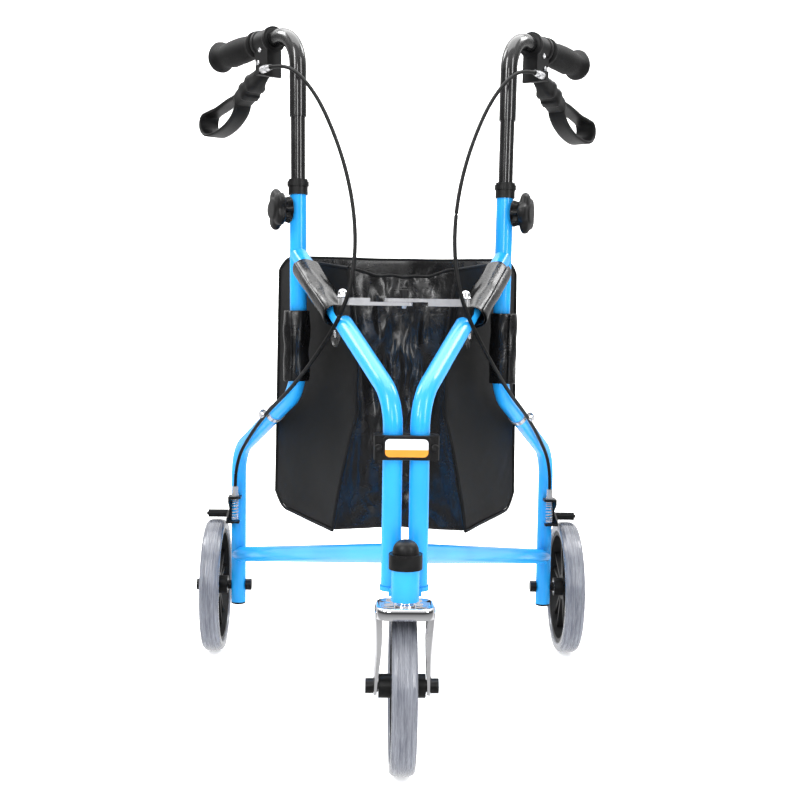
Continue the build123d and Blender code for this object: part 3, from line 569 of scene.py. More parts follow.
def brakeCable(name):
    route = [Vector((x * sides[name], y, z)) for x, y, z in cableRoute]
    line = cordCurve(name + "CableLine", route, 0.0)
    depsgraph = bpy.context.evaluated_depsgraph_get()
    centre = bpy.data.meshes.new_from_object(line.evaluated_get(depsgraph))
    path = [vertex.co.copy() for vertex in centre.vertices]
    bpy.data.objects.remove(line)
    cable = sleeve(name + "BrakeCable", path, cableSize["diameter"] / 2, 14)
    dress(cable, materials["cable_sheath"])
    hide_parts(name + "_cable")
    name + "_frame"
    name + "_handle"
    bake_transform(cable)


onBothSides(brakeCable, "cables laid")

# tyres
tyreShape = {"radius": 0.1, "width": 0.028, "depth": 0.014, "crown": 0.0045, "groove": 0.0005, "steps": 128}


def tyre(name, node, body):
    low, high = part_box(node)
    centre = (low + high) / 2
    half = tyreShape["width"] / 2
    inner = tyreShape["radius"] - tyreShape["depth"]
    profile = [(-half + 0.0006, inner), (-half, inner + 0.002)]
    count = 27
    for index in range(count):
        share = -1 + 2 * index / (count - 1)
        drop = tyreShape["crown"] * (0.25 * share ** 2 + 0.75 * abs(share) ** 5)
        groove = tyreShape["groove"] * (0.5 - 0.5 * math.cos(share * math.pi * 7)) * (1 - share ** 4)
        profile.append((half * share, tyreShape["radius"] - drop - groove))
    profile += [(half, inner + 0.002), (half - 0.0006, inner)]
    points = []
    for along, radius in profile:
        for step in range(tyreShape["steps"]):
            angle = 2 * math.pi * step / tyreShape["steps"]
            points.append(centre + Vector((along, radius * math.cos(angle), radius * math.sin(angle))))
    faces = gridFaces(len(profile), tyreShape["steps"], closed=True, looped=True)
    piece = faceOutward(newMesh(name, points, faces))
    dress(piece, tyreRubber(name, centre))
    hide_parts(node)
    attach(piece, body)


tyre("frontTyre", "front_tyre", "front_wheel")
for side in sides:
    tyre(side + "Tyre", side + "_tyre", side + "_wheel")
print("tyres made")


# grips
gripShape = {"collar": 0.0186, "waist": 0.0158, "palm": 0.0178, "flare": 0.0202,
             "ledge": 0.0034, "steps": 48}


frameSizes = {"knobDrop": 0.020, "knobOut": 0.030, "gripHeight": 0.212, "gripStart": 0.099,
              "gripEnd": 0.212, "leverDrop": 0.029, "frontBend": (0.0, 0.430), "junction": (0.3015, 0.597),
              "uprightBend": (0.295, 0.418), "barRun": 0.148, "barTop": 0.541}


class HandleFrame:
    # reach runs along the grip from the upright's axis, up along the upright, out away from the walker
    def __init__(self, name):
        self.up = upDirection(name)
        knob = Vector(joints[name + "_knob_turn"]["pos_m"])
        self.top = knob + self.up * frameSizes["knobDrop"] - frames[name].outward * frameSizes["knobOut"]
        lever = Vector(joints[name + "_brake_squeeze"]["pos_m"])
        self.gripUp = frameSizes["gripHeight"]
        rise = self.up * (self.gripUp - frameSizes["leverDrop"])
        self.ahead = (lever - self.top - rise).normalized()
        self.out = self.ahead.cross(self.up).normalized() * sides[name]

    def point(self, reach, up=None, out=0.0):
        height = self.gripUp if up is None else up
        return self.top + self.ahead * reach + self.up * height + self.out * out


def softGrip(name):
    handle = HandleFrame(name)
    start, end = frameSizes["gripStart"], frameSizes["gripEnd"]
    length = end - start
    collar, waist, palm, flare = (gripShape[key] for key in ("collar", "waist", "palm", "flare"))
    stations = [(0.0, 0.0138), (0.0006, collar - 0.0008), (0.0016, collar), (0.0062, collar),
                (0.0072, collar - 0.0008), (0.0085, waist), (0.016, waist), (0.026, waist + 0.0008),
                (0.040, palm), (0.056, palm + 0.0004), (0.072, palm), (0.086, waist + 0.0006),
                (0.096, waist + 0.0008), (0.103, flare - 0.001), (0.108, flare),
                (length - 0.002, flare - 0.0008), (length, flare - 0.0035), (length, 0.006)]
    points = []
    steps = gripShape["steps"]
    for along, radius in stations:
        for step in range(steps):
            angle = 2 * math.pi * step / steps
            below = max(0.0, -math.sin(angle))
            swell = 0.0
            if 0.02 < along < 0.1:
                swell = 0.0007 * below * math.sin((along - 0.02) / 0.08 * math.pi * 4)
            lift = gripShape["ledge"] * max(0.0, math.sin(angle)) ** 3 if along > 0.1 else 0.0
            reach = radius + swell + lift
            points.append(handle.point(start + along, handle.gripUp + reach * math.sin(angle),
                                       reach * math.cos(angle)))
    faces = gridFaces(len(stations), steps, closed=True)
    faces.append(tuple(range((len(stations) - 1) * steps, len(stations) * steps)))
    inner = [handle.point(start + along, handle.gripUp + 0.0112 * math.sin(2 * math.pi * step / steps),
                          0.0112 * math.cos(2 * math.pi * step / steps))
             for along in (0.0, 0.04) for step in range(steps)]
    first = len(points)
    points += inner
    faces += gridFaces(2, steps, closed=True, start=first)
    for step in range(steps):
        following = (step + 1) % steps
        faces.append((step, following, first + following, first + step))
    faces.append(tuple(range(first + steps, first + 2 * steps)))
    piece = faceOutward(newMesh(name + "Grip", points, faces))
    dress(piece, materials["black_rubber"])
    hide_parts(name + "_grip")
    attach(piece, name + "_handle")


onBothSides(softGrip, "grips made")


def ringBand(name, base, direction, radius, width, height, across, over, steps=32, roundness=0.3):
    points = []
    profile = [(-width / 2, 0.0), (-width / 2, height * (1 - roundness)),
               (-width / 2 * (1 - roundness), height), (width / 2 * (1 - roundness), height),
               (width / 2, height * (1 - roundness)), (width / 2, 0.0)]
    for along, rise in profile:
        for step in range(steps):
            angle = 2 * math.pi * step / steps
            reach = radius + rise
            points.append(base + direction * along + across * reach * math.cos(angle)
                          + over * reach * math.sin(angle))
    faces = gridFaces(len(profile), steps, closed=True, looped=True)
    return faceOutward(newMesh(name, points, faces))


housingTrim = {"collars": (0.0612, 0.0925), "radius": 0.0158, "width": 0.006, "height": 0.0016}


def housingDetail(name):
    handle = HandleFrame(name)
    for index, reach in enumerate(housingTrim["collars"]):
        ring = ringBand(name + "HousingCollar" + str(index + 1), handle.point(reach), handle.ahead,
                        housingTrim["radius"], housingTrim["width"], housingTrim["height"],
                        handle.out, handle.up, 40)
        dress(ring, materials["black_plastic"])
        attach(ring, name + "_handle")
    screw = turned(name + "HousingScrew", handle.point(0.0775, handle.gripUp - 0.0125, 0.0108), handle.out,
                   [(0.0, 0.0034), (0.0011, 0.0034), (0.0019, 0.0027), (0.0019, 0.0014), (0.0010, 0.0012)],
                   24)
    dress(screw, materials["bright_steel"])
    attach(screw, name + "_handle")


onBothSides(housingDetail, "housings detailed")


# label plate on the tube clamp
labelShape = {"width": 0.0485, "height": 0.0240, "corner": 0.0050, "thick": 0.0009,
              "split": 0.42, "rim": 0.0009}


def roundedOutline(width, height, corner, steps=8):
    outline = []
    for cornerX, cornerZ, start in ((1, 1, 0), (-1, 1, 90), (-1, -1, 180), (1, -1, 270)):
        for step in range(steps + 1):
            angle = math.radians(start + 90 * step / steps)
            outline.append((cornerX * (width / 2 - corner) + corner * math.cos(angle),
                            cornerZ * (height / 2 - corner) + corner * math.sin(angle)))
    return outline


def plate(name, centre, width, height, corner, thick, bevel):
    # a thin rounded plate facing forward
    layers = [(0.0, 0.0), (thick - bevel, 0.0), (thick - bevel * 0.3, bevel * 0.3), (thick, bevel)]
    points = []
    for depth, inset in layers:
        for x, z in roundedOutline(width - 2 * inset, height - 2 * inset, corner - inset):
            points.append(centre + Vector((x, -depth, z)))
    count = len(points) // len(layers)
    faces = gridFaces(len(layers), count, closed=True)
    faces += [tuple(range(count)), tuple(range(len(points) - count, len(points)))]
    return faceOutward(newMesh(name, points, faces, smooth=False))


def labelFinish():
    look = Finish("blankLabel", Coat_Weight=0.6, Coat_Roughness=0.08)
    height = look.split(look.spot)[2]
    low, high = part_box("clamp_halves")
    split = (low.z + high.z) / 2 - labelShape["height"] * (0.5 - labelShape["split"])
    fade = look.noise(60.0, 4.0)
    upper = look.mix(fade, colour(0.72, 0.74, 0.79), colour(0.80, 0.81, 0.84))
    lower = look.mix(fade, colour(0.66, 0.25, 0.02), colour(0.72, 0.30, 0.03))
    look.feed("Base Color", look.mix(height.above(split, 0.0004), lower, upper))
    look.feed("Roughness", fade * 0.1 + 0.25)
    return look.material


def clampTrim():
    low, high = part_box("clamp_halves")
    middle = Vector(((low.x + high.x) / 2, low.y, (low.z + high.z) / 2))
    face = plate("clampLabelSeat", middle + Vector((0, 0.0006, 0)), labelShape["width"] + 0.005,
                 min(labelShape["height"] + 0.004, high.z - low.z), labelShape["corner"] + 0.001, 0.0016,
                 0.0008)
    dress(face, materials["black_plastic"])
    label = plate("clampLabel", middle + Vector((0, -0.0009, 0)), labelShape["width"] - 0.001,
                  labelShape["height"] - 0.004, labelShape["corner"], labelShape["thick"],
                  labelShape["rim"] * 0.5)
    label.data.materials.append(labelFinish())
    for piece in (face, label):
        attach(piece, "steering_head")


clampTrim()
print("clamp trimmed")


# bag
bagShape = {"frontRun": 0.212, "rearRun": 0.425, "inset": 0.0185, "bottom": 0.245, "frontTop": 0.578,
            "rearTop": 0.598, "bulge": 0.0035, "rows": 52, "counts": (38, 30, 48, 30),
            "thickness": 0.0014, "piping": 0.0019, "keep": 0.17, "slack": -0.22, "frames": 26,
            "cap": 0.016, "round": 0.020, "pull": 0.026}


def bagCorners(height):
    lift = bagShape["bulge"] * (bagShape["rearTop"] - height) / (bagShape["rearTop"] - bagShape["bottom"])
    corners = []
    for name, run in (("right", bagShape["frontRun"]), ("left", bagShape["frontRun"]),
                      ("left", bagShape["rearRun"]), ("right", bagShape["rearRun"])):
        spot = frames[name].point(run, height)
        share = (height - bagShape["bottom"]) / (bagShape["rearTop"] - bagShape["bottom"])
        pull = 0.0
        if run == bagShape["frontRun"]:
            pull = (bagShape["pull"] * min(1.0, share / 0.42) ** 1.3
                    * (1 - 0.6 * max(0.0, (share - 0.7) / 0.3)))
        corners.append(Vector((spot.x - sides[name] * (bagShape["inset"] - lift + pull), spot.y, height)))
    return corners


def bagSpot(wall, u, v):
    # a point of one wall: front, left wing, rear, right wing
    tops = [bagShape["frontTop"]] * 2 + [bagShape["rearTop"]] * 2
    following = (wall + 1) % 4
    top = tops[wall] + (tops[following] - tops[wall]) * u
    height = bagShape["bottom"] + (top - bagShape["bottom"]) * v
    corners = bagCorners(height)
    spot = corners[wall].lerp(corners[following], u)
    run = corners[following] - corners[wall]
    outward = Vector((run.y, -run.x, 0)).normalized()
    arch = math.sin(math.pi * u)
    toRear = (0.0, max(0.0, (u - 0.78) / 0.22), max(0.0, 1 - min(u, 1 - u) / 0.10),
              max(0.0, (0.22 - u) / 0.22))[wall]
    spot.z += bagShape["round"] * toRear ** 2 * ((1 - v) ** 6 - v ** 6)
    if wall == 0:
        seed = Vector((u * 3.1 + 4.0, v * 3.4, 0.7))
        fold = (noise.noise(seed) * 0.010 + abs(noise.noise(seed * 2.3)) * 0.009
                + abs(noise.noise(seed * 5.1)) * 0.004)
        spot -= outward * (0.020 * arch ** 0.7 * (0.75 + 0.25 * v) + fold * arch)
        spot.z -= 0.010 * arch * v ** 6 + 0.004 * noise.noise(Vector((u * 6, 2.0, 0))) * v ** 8
    elif wall == 2:
        seed = Vector((u * 3.4, v * 2.9, 5.1))
        spot += outward * (0.006 * arch + noise.noise(seed) * 0.006 * arch)
        spot.z -= 0.003 * arch * v ** 6 * (1 + noise.noise(Vector((u * 5, 7.0, 0))))
    else:
        seed = Vector((u * 2.6 + wall, v * 1.1, 9.3 + wall))
        spot += outward * (0.0015 * arch + noise.noise(seed) * 0.0035 * arch)
    return spot


def drape(piece, pinned, slack):
    # slack cloth between held seams buckles into its own wrinkles
    start = [vertex.co.copy() for vertex in piece.data.vertices]
    hold = piece.vertex_groups.new(name="held")
    loose = piece.vertex_groups.new(name="slack")
    for index, weight in pinned.items():
        hold.add([index], weight, "REPLACE")
    for index, weight in slack.items():
        loose.add([index], weight, "REPLACE")
    modifier = piece.modifiers.new("cloth", "CLOTH")
    cloth = modifier.settings
    cloth.quality = 8
    cloth.mass = 0.25
    cloth.tension_stiffness = cloth.compression_stiffness = 18
    cloth.shear_stiffness = 8
    cloth.bending_stiffness = 0.25
    cloth.vertex_group_mass = "held"
    cloth.vertex_group_shrink = "slack"
    cloth.shrink_min = 0.0
    cloth.shrink_max = bagShape["slack"]
    cloth.effector_weights.gravity = 0.35
    modifier.collision_settings.use_collision = False
    modifier.point_cache.frame_start = 1
    modifier.point_cache.frame_end = bagShape["frames"]
    for frameNumber in range(1, bagShape["frames"] + 1):
        bpy.context.scene.frame_set(frameNumber)
    finished = piece.evaluated_get(bpy.context.evaluated_depsgraph_get()).data
    moved = [vertex.co.copy() for vertex in finished.vertices]
    piece.modifiers.clear()
    piece.vertex_groups.clear()
    for vertex, before, after in zip(piece.data.vertices, start, moved):
        step = after - before
        if step.length > bagShape["cap"]:
            step *= bagShape["cap"] / step.length
        vertex.co = before + step
    piece.data.update()
    bpy.context.scene.frame_set(1)


def softBody(piece):
    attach(piece, "steering_head")
    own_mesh(piece)


def makeBag():
    rows, counts = bagShape["rows"], bagShape["counts"]
    around = sum(counts)
    points, pinned, slack, wallOf = [], {}, {}, []
    for row in range(rows):
        v = row / (rows - 1)
        for wall, count in enumerate(counts):
            for step in range(count):
                u = step / count
                index = len(points)
                points.append(bagSpot(wall, u, v))
                edge = min(u, 1 - u) * count
                if step == 0 or row in (0, rows - 1):
                    pinned[index] = 1.0
                slack[index] = (1.0, 0.16, 0.45, 0.16)[wall] * min(1.0, edge / 3)
                if row == 0:
                    wallOf += [wall]
    faces = gridFaces(rows, around, closed=True)
    finish = [0 if wallOf[column] in (0, 2) else 1 for row in range(rows - 1) for column in range(around)]
    middle = sum((points[index] for index in range(around)), Vector()) / around
    previous = list(range(around))
    for share in (0.93, 0.7, 0.4, 0.12):
        ring = []
        for index in range(around):
            spot = middle + (points[index] - middle) * share
            spot.z -= 0.003 * (1 - share) + 0.0015 * noise.noise(spot * 30)
            ring.append(len(points))
            pinned[len(points)] = 1.0
            slack[len(points)] = 0.0
            points.append(spot)
        for index in range(around):
            following = (index + 1) % around
            faces.append((previous[following], previous[index], ring[index], ring[following]))
            finish.append(0)
        previous = ring
    faces.append(tuple(reversed(previous)))
    finish.append(0)
    bag = newMesh("bagBody", points, faces)
    drape(bag, pinned, slack)
    settled = [vertex.co.copy() for vertex in bag.data.vertices]
    for material in (materials["vinyl"], materials["nylon"]):
        bag.data.materials.append(material)
    for polygon, index in zip(bag.data.polygons, finish):
        polygon.material_index = index
    faceOutward(bag)
    thicken(bag, bagShape["thickness"])
    subdivide(bag)
    applyModifiers(bag)
    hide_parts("bag")
    softBody(bag)
    return settled, around


bagPoints, bagAround = makeBag()
print("bag made")


def bagColumn(column, start=0, stop=None):
    stop = bagShape["rows"] if stop is None else stop
    return [bagPoints[row * bagAround + column % bagAround] for row in range(start, stop)]


def bagPiping():
    counts = bagShape["counts"]
    frontLeft = counts[0]
    rearLeft = counts[0] + counts[1]
    rearRight = rearLeft + counts[2]
    seams = {"bagPipingFrontRight": bagColumn(0), "bagPipingFrontLeft": bagColumn(frontLeft),
             "bagPipingRearLeft": bagColumn(rearLeft), "bagPipingRearRight": bagColumn(rearRight)}
    bottom = [bagPoints[column] for column in range(bagAround)]
    seams["bagPipingFootLeft"] = bottom[frontLeft:rearLeft + 1]
    seams["bagPipingFootRight"] = bottom[rearRight:] + bottom[:1]
    top = [bagPoints[(bagShape["rows"] - 1) * bagAround + column] for column in range(bagAround)]
    seams["bagPipingRim"] = top + top[:1]
    for name, line in seams.items():
        piping = sleeve(name, line, bagShape["piping"], 10)
        dress(piping, materials["nylon"])
        softBody(piping)


bagPiping()
print("bag piped")

# straps round the tubes
tailShape = {"run": 0.212, "length": 0.062, "width": 0.040, "lean": 0.22, "grid": (12, 8)}
strapShape = {"radius": 0.0126, "slack": 0.0028, "thickness": 0.0013, "snap": 0.0052, "steps": 40,
              "lap": 17, "low": 0.430, "rise": 0.093, "upper": (0.160, 0.266)}


def strapPath(name, start, end, count):
    first, second = Vector((start[0], 0, start[1])), Vector((end[0], 0, end[1]))
    return [frames[name].point(*(first.lerp(second, index / (count - 1))).xz) for index in range(count)]


def wrap(name, piece, path, seed, openSide, flapTurn):
    # a loose loop of vinyl round a tube, with its flap lapped over; the flap's points are given back for the snaps
    mirror = sides[name]
    inwardDirection = -frames[name].outward
    points, flap = [], []
    steps, lapSteps = strapShape["steps"], strapShape["lap"] - 1
    count = len(path)

    def reachAt(angle, share):
        crease = noise.noise(Vector((math.cos(angle) * 1.6 + seed, math.sin(angle) * 1.6, share * 3.4)))
        pull = max(0.0, math.cos(angle - openSide)) ** 2
        return strapShape["radius"] + strapShape["slack"] * (0.45 + crease * 0.9) + 0.006 * pull

    for index, spot in enumerate(path):
        along = (path[min(index + 1, count - 1)] - path[max(index - 1, 0)]).normalized()
        across = (inwardDirection - along * inwardDirection.dot(along)).normalized()
        over = along.cross(across).normalized() * mirror
        share = index / (count - 1)
        ends = 1 - 0.55 * math.sin(math.pi * share)
        for step in range(steps):
            angle = 2 * math.pi * step / steps
            reach = reachAt(angle, share) + 0.0006 * ends
            points.append(spot + across * reach * math.cos(angle) + over * reach * math.sin(angle))
        for step in range(lapSteps + 1):
            angle = openSide - 0.25 + flapTurn * step / lapSteps
            reach = reachAt(angle, share) + 0.0022 + 0.0016 * (step / lapSteps) ** 3
            flap.append(spot + across * reach * math.cos(angle) + over * reach * math.sin(angle))
    loop = newMesh(piece + "Loop", points, gridFaces(count, steps, closed=True))
    faceOutward(loop)
    thicken(loop, strapShape["thickness"])
    subdivide(loop)
    lap = newMesh(piece + "Flap", flap, gridFaces(count, lapSteps + 1))
    thicken(lap, strapShape["thickness"], 1.0)
    subdivide(lap)
    for item in (loop, lap):
        applyModifiers(item)
        dress(item, materials["vinyl"])
        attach(item, name + "_frame")
    return flap


def snapCap(piece, name, spot, facing):
    radius = strapShape["snap"]
    cap = turned(piece, spot, facing,
                 [(-0.001, radius * 0.9), (0.0, radius), (0.0008, radius), (0.0016, radius * 0.82),
                  (0.0020, radius * 0.45), (0.0018, radius * 0.2)], 28)
    dress(cap, materials["bright_steel"])
    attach(cap, name + "_frame")


def snapOn(piece, name, points, row, column, columns):
    # a snap on a sheet's point, on the side that faces forward
    index = row * columns + column
    across = points[index + 1] - points[index - 1]
    facing = across.cross(points[index + columns] - points[index - columns]).normalized()
    if facing.y > 0:
        facing = -facing
    snapCap(piece, name, points[index] + facing * 0.0012, facing)


def straps(name):
    bendRun, bendHeight = frameSizes["uprightBend"]
    lower = [frames[name].point(bendRun + (height - bendHeight) * math.tan(math.radians(1.65)), height)
             for height in (strapShape["low"] + strapShape["rise"] * step / 12 for step in range(13))]
    flap = wrap(name, name + "LowerStrap", lower, 1.3 + sides[name], 2.6, 2.3)
    for row, label in ((3, "LowerSnap"), (9, "MiddleSnap")):
        snapOn(name + label, name, flap, row, 13, strapShape["lap"])
    start, end = frameSizes["frontBend"], frameSizes["junction"]
    slope = (end[1] - start[1]) / (end[0] - start[0])
    upper = strapPath(name, *((run, start[1] + run * slope) for run in strapShape["upper"]), 13)
    flap = wrap(name, name + "UpperStrap", upper, 4.1 + sides[name], 2.9, 2.4)
    snapOn(name + "UpperSnap", name, flap, 3, 12, strapShape["lap"])
    # the strap's free tail hangs from the upper loop
    anchor = frames[name].point(tailShape["run"], start[1] + tailShape["run"] * slope - 0.008, -0.010)
    down = (Vector((0, 0, -1)) - frames[name].along * tailShape["lean"]).normalized()
    wide = frames[name].along
    rows, columns = tailShape["grid"]
    points = []
    for row in range(rows):
        share = row / (rows - 1)
        for column in range(columns):
            side = column / (columns - 1) - 0.5
            rounding = math.sqrt(max(0.02, 1 - (max(0.0, share - 0.62) / 0.38) ** 2))
            ripple = Vector((side * 3, share * 4, sides[name]))
            lift = 0.004 * math.sin(share * 3.0) + 0.003 * noise.noise(ripple)
            points.append(anchor + down * tailShape["length"] * share
                          + wide * tailShape["width"] * side * rounding
                          - frames[name].outward * (0.002 + lift))
    tail = newMesh(name + "StrapTail", points, gridFaces(rows, columns))
    thicken(tail, strapShape["thickness"], 0.0)
    subdivide(tail)
    applyModifiers(tail)
    dress(tail, materials["vinyl"])
    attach(tail, name + "_frame")
    snapOn(name + "TailSnap", name, points, 8, 4, columns)


onBothSides(straps, "straps made")


# domed nuts on the crossbar pivots
def domedNut(name):
    post = frames[name].point(frameSizes["barRun"], 0.0)
    base = Vector((post.x, post.y, frameSizes["barTop"] + 0.0004))
    nut = turned(name + "DomedNut", base, Vector((0, 0, 1)),
                 [(0.0, 0.0072), (0.0008, 0.0076), (0.0012, 0.0062), (0.0050, 0.0061),
                  (0.0062, 0.0056), (0.0082, 0.0046), (0.0096, 0.0030), (0.0102, 0.0012)], 48,
                 lambda angle, along: 1 - 0.06 * abs(math.sin(3 * angle)) if 0.001 < along < 0.0055 else 1.0)
    dress(nut, materials["chrome"])
    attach(nut, name + "_frame")


onBothSides(domedNut, "nuts made")


# return springs of the brakes, fixed coils on the side frames
springShape = {"wire": 0.0006, "turns": 9, "perTurn": 20, "keep": 0.70}


def returnSpring(name):
    low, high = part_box(name + "_brake_spring")
    middle = (low + high) / 2
    coil = min(high.x - low.x, high.y - low.y) / 2 - springShape["wire"]
    count = springShape["turns"] * springShape["perTurn"]
    path = []
    for index in range(count + 1):
        share = index / count
        angle = 2 * math.pi * springShape["turns"] * share
        eased = share - 0.055 * math.sin(2 * math.pi * share)  # the end turns lie closer
        path.append(Vector((middle.x + coil * math.cos(angle), middle.y + coil * math.sin(angle),
                            low.z + springShape["wire"]
                            + (high.z - low.z - 2 * springShape["wire"]) * eased)))
    spring = sleeve(name + "ReturnSpring", path, springShape["wire"], 8)
    dress(spring, materials["bright_steel"])
    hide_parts(name + "_brake_spring")
    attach(spring, name + "_frame")
    name + "_brake_squeeze"
    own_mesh(spring)


onBothSides(returnSpring, "springs made")

# lofts for the moulded and pressed pieces
def loft(name, centres, widths, thicks, sideway, closed=False, steps=20, power=4.0):
    points = []
    count = len(centres)
    for index, spot in enumerate(centres):
        before = centres[(index - 1) % count] if closed else centres[max(index - 1, 0)]
        after = centres[(index + 1) % count] if closed else centres[min(index + 1, count - 1)]
        along = (after - before).normalized()
        wide = (sideway - along * sideway.dot(along)).normalized()
        over = along.cross(wide).normalized()
        for step in range(steps):
            angle = 2 * math.pi * step / steps
            c, s = math.cos(angle), math.sin(angle)
            reach = (abs(c) ** power + abs(s) ** power) ** (-1 / power)
            points.append(spot + wide * widths[index] * reach * c + over * thicks[index] * reach * s)
    faces = gridFaces(count, steps, closed=True, looped=closed)
    if not closed:
        faces += [tuple(reversed(range(steps))), tuple(range((count - 1) * steps, count * steps))]
    return faceOutward(newMesh(name, points, faces))


def smoothLine(points, perRun, closed=False):
    # Catmull-Rom points through the given ones, which may be tuples of any length
    line = []
    count = len(points)
    for index in range(count if closed else count - 1):
        quad = [points[(index + shift) % count] if closed else points[min(max(index + shift, 0), count - 1)]
                for shift in (-1, 0, 1, 2)]
        for step in range(perRun):
            t = step / perRun
            line.append([0.5 * (2 * b + (c - a) * t + (2 * a - 5 * b + 4 * c - d) * t * t
                                + (3 * b - a - 3 * c + d) * t ** 3) for a, b, c, d in zip(*quad)])
    if not closed:
        line.append(list(points[-1]))
    return line


# brake levers: a ribbed root and a wide loop
# each station is reach, drop below the grip line, half width and half thickness
leverShape = {"loop": [(0.146, 0.0650, 0.0128, 0.0026), (0.158, 0.0645, 0.0124, 0.0024),
                       (0.180, 0.0675, 0.0118, 0.0022), (0.205, 0.0725, 0.0118, 0.0022),
                       (0.226, 0.0750, 0.0132, 0.0022), (0.240, 0.0780, 0.0148, 0.0022),
                       (0.2455, 0.0870, 0.0155, 0.0022), (0.2430, 0.0985, 0.0155, 0.0022),
                       (0.231, 0.1070, 0.0148, 0.0022), (0.207, 0.1070, 0.0134, 0.0024),
                       (0.180, 0.1010, 0.0126, 0.0026), (0.158, 0.0905, 0.0124, 0.0028),
                       (0.146, 0.0780, 0.0126, 0.0030)],
              "root": [(0.076, 0.0330, 0.0072, 0.0040), (0.084, 0.0375, 0.0074, 0.0085),
                       (0.096, 0.0440, 0.0074, 0.0105), (0.104, 0.0480, 0.0105, 0.0112),
                       (0.108, 0.0500, 0.0132, 0.0118), (0.114, 0.0530, 0.0135, 0.0118),
                       (0.116, 0.0540, 0.0128, 0.0100), (0.121, 0.0565, 0.0128, 0.0100),
                       (0.123, 0.0575, 0.0136, 0.0122), (0.131, 0.0615, 0.0136, 0.0122),
                       (0.133, 0.0625, 0.0128, 0.0102), (0.142, 0.0665, 0.0128, 0.0098),
                       (0.149, 0.0700, 0.0124, 0.0088), (0.152, 0.0715, 0.0110, 0.0060)]}


def brakeLever(name):
    handle = HandleFrame(name)
    for part, closed, perRun in (("loop", True, 8), ("root", False, 3)):
        stations = leverShape[part]
        if closed:
            stations = smoothLine(stations, perRun, True)
        centres = [handle.point(reach, handle.gripUp - drop) for reach, drop, width, thick in stations]
        widths = [station[2] for station in stations]
        thicks = [station[3] for station in stations]
        piece = loft(name + "Lever" + part.title(), centres, widths, thicks, handle.out, closed, 24, 7.0)
        if part == "root":
            bevel = piece.modifiers.new("edge", "BEVEL")
            bevel.width = 0.0005
            bevel.segments = 2
            applyModifiers(piece)
            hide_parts(name + "_brake_lever")
        dress(piece, materials["black_plastic"])
        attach(piece, name + "_lever")
    pin = turned(name + "LeverPin", handle.point(0.082, handle.gripUp - 0.029, -0.0128), handle.out,
                 [(0.0, 0.0024), (0.0004, 0.0034), (0.0014, 0.0036), (0.0018, 0.0024), (0.0238, 0.0024),
                  (0.0242, 0.0036), (0.0252, 0.0034), (0.0256, 0.0020)], 24)
    dress(pin, materials["bright_steel"])
    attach(pin, name + "_lever")


onBothSides(brakeLever, "levers made")

# height knobs: a lobed rim on a ribbed cone
knobShape = {"lobes": 5, "dip": 0.20, "ribs": 8, "ribDepth": 0.30, "cone": (0.0128, 0.0240),
             "rim": (0.0240, 0.0357),
             "profile": [(0.0116, 0.0100), (0.0118, 0.0165), (0.0126, 0.0178), (0.0134, 0.0176),
                         (0.0160, 0.0166), (0.0185, 0.0158), (0.0210, 0.0160), (0.0228, 0.0176),
                         (0.0240, 0.0215), (0.0255, 0.0262), (0.0275, 0.0274), (0.0310, 0.0274),
                         (0.0332, 0.0262), (0.0348, 0.0235), (0.0356, 0.0190), (0.0358, 0.0150),
                         (0.0372, 0.0135), (0.0376, 0.0110), (0.0376, 0.0040)]}


def knobOutline(angle, along):
    if knobShape["rim"][0] < along < knobShape["rim"][1]:
        return 1 - knobShape["dip"] * (0.5 - 0.5 * math.cos(knobShape["lobes"] * angle)) ** 1.6
    if knobShape["cone"][0] < along < knobShape["cone"][1]:
        return 1 - knobShape["ribDepth"] * (0.5 - 0.5 * math.cos(knobShape["ribs"] * angle))
    return 1.0


def heightKnob(name):
    pivot = Vector(joints[name + "_knob_turn"]["pos_m"])
    outward = frames[name].outward
    piece = turned(name + "HeightKnob", pivot - outward * frameSizes["knobOut"], outward,
                   knobShape["profile"], 160, knobOutline)
    subdivide(piece)
    applyModifiers(piece)
    dress(piece, materials["black_plastic"])
    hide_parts(name + "_height_knob")
    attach(piece, name + "_knob")


onBothSides(heightKnob, "knobs made")

# fork: a pressed crown, two channel legs and the bearing
forkShape = {"width": 0.064, "depth": 0.054, "corner": 0.014, "top": 0.2078, "lip": 0.0112, "sheet": 0.0020,
             "flange": 0.0062, "legTop": 0.0170, "legFoot": 0.0088, "foot": 0.0900}


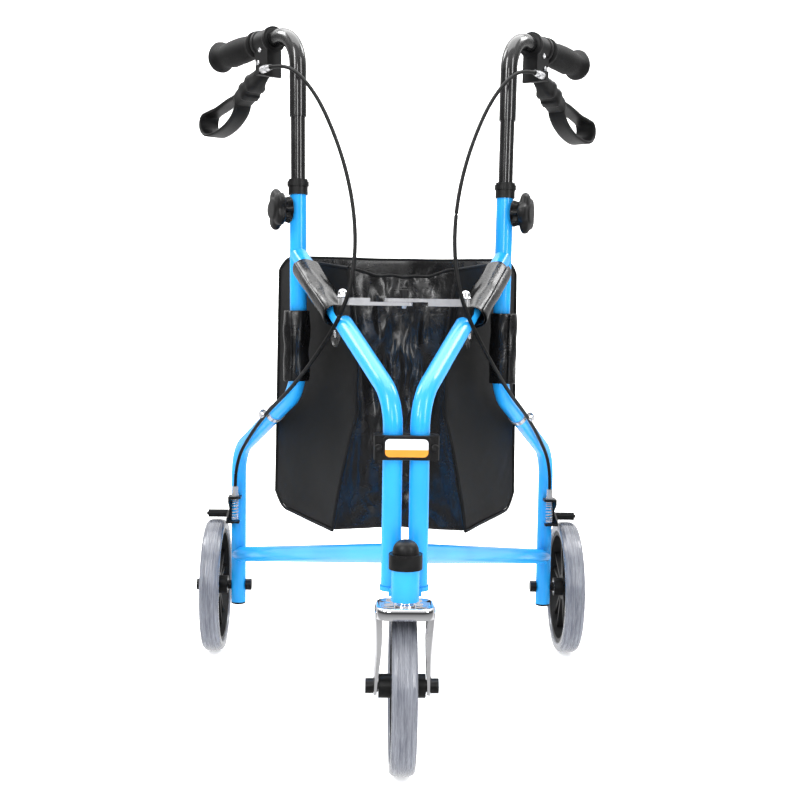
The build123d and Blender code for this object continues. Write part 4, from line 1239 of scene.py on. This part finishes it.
def forkLeg(name, crown, axle):
    mirror = sides[name]
    rows = 26
    points = []
    for row in range(rows):
        share = row / (rows - 1)
        z = forkShape["top"] - 0.004 - (forkShape["top"] - 0.004 - forkShape["foot"]) * share
        ease = share * share * (3 - 2 * share)
        y = crown.y + (axle.y - crown.y) * ease
        half = forkShape["legTop"] + (forkShape["legFoot"] - forkShape["legTop"]) * ease
        below = axle.z - z
        if below > 0:
            half = max(0.0030, math.sqrt(max(0.0, forkShape["legFoot"] ** 2 - (below * 0.95) ** 2)))
        x = forkShape["width"] / 2 - 0.0018 * math.sin(math.pi * min(1.0, share * 1.15)) - 0.0006
        flange = forkShape["flange"] * (1 - 0.55 * ease)
        section = [(flange, -half), (0.0028, -half), (0.0010, -half + 0.0007),
                   (0.0, -half + 0.0028), (0.0, 0.0), (0.0, half - 0.0028),
                   (0.0010, half - 0.0007), (0.0028, half), (flange, half)]
        points += [Vector((mirror * (x - inward), y + along, z)) for inward, along in section]
    leg = newMesh("forkLeg" + name.title(), points, gridFaces(rows, 9))
    thicken(leg, forkShape["sheet"], 1.0 if mirror < 0 else -1.0)
    bevel = leg.modifiers.new("edge", "BEVEL")
    bevel.width = 0.0004
    bevel.segments = 2
    subdivide(leg)
    return applyModifiers(leg)


def makeFork():
    crown = Vector(joints["steer"]["pos_m"])
    axle = Vector(joints["front_wheel_spin"]["pos_m"])
    rings = [(0.024, 0.0006), (0.0065, 0.0006), (0.0045, 0.0012), (0.0022, 0.0012), (0.0008, 0.0002),
             (0.0, -0.0020), (0.0, -0.0055), (0.0, -forkShape["lip"])]
    points = []
    for inset, rise in rings:
        outline = roundedOutline(forkShape["width"] - 2 * inset, forkShape["depth"] - 2 * inset,
                                 max(0.003, forkShape["corner"] - inset), 10)
        points += [Vector((x, crown.y + y, forkShape["top"] + rise)) for x, y in outline]
    count = len(points) // len(rings)
    faces = gridFaces(len(rings), count, closed=True) + [tuple(range(count))]
    pan = faceOutward(newMesh("forkCrown", points, faces))
    thicken(pan, forkShape["sheet"])
    applyModifiers(pan)
    bearing = turned("forkBearing", Vector((0, crown.y, forkShape["top"])), Vector((0, 0, 1)),
                     [(0.0, 0.0120), (0.0006, 0.0126), (0.0016, 0.0126), (0.0022, 0.0108), (0.0030, 0.0108),
                      (0.0034, 0.0118), (0.0042, 0.0118), (0.0046, 0.0100)], 64)
    pieces = [pan, bearing] + [forkLeg(name, crown, axle) for name in sides]
    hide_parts("fork")
    for piece in pieces:
        dress(piece, materials["chrome"])
        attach(piece, "fork")


makeFork()
print("fork made")
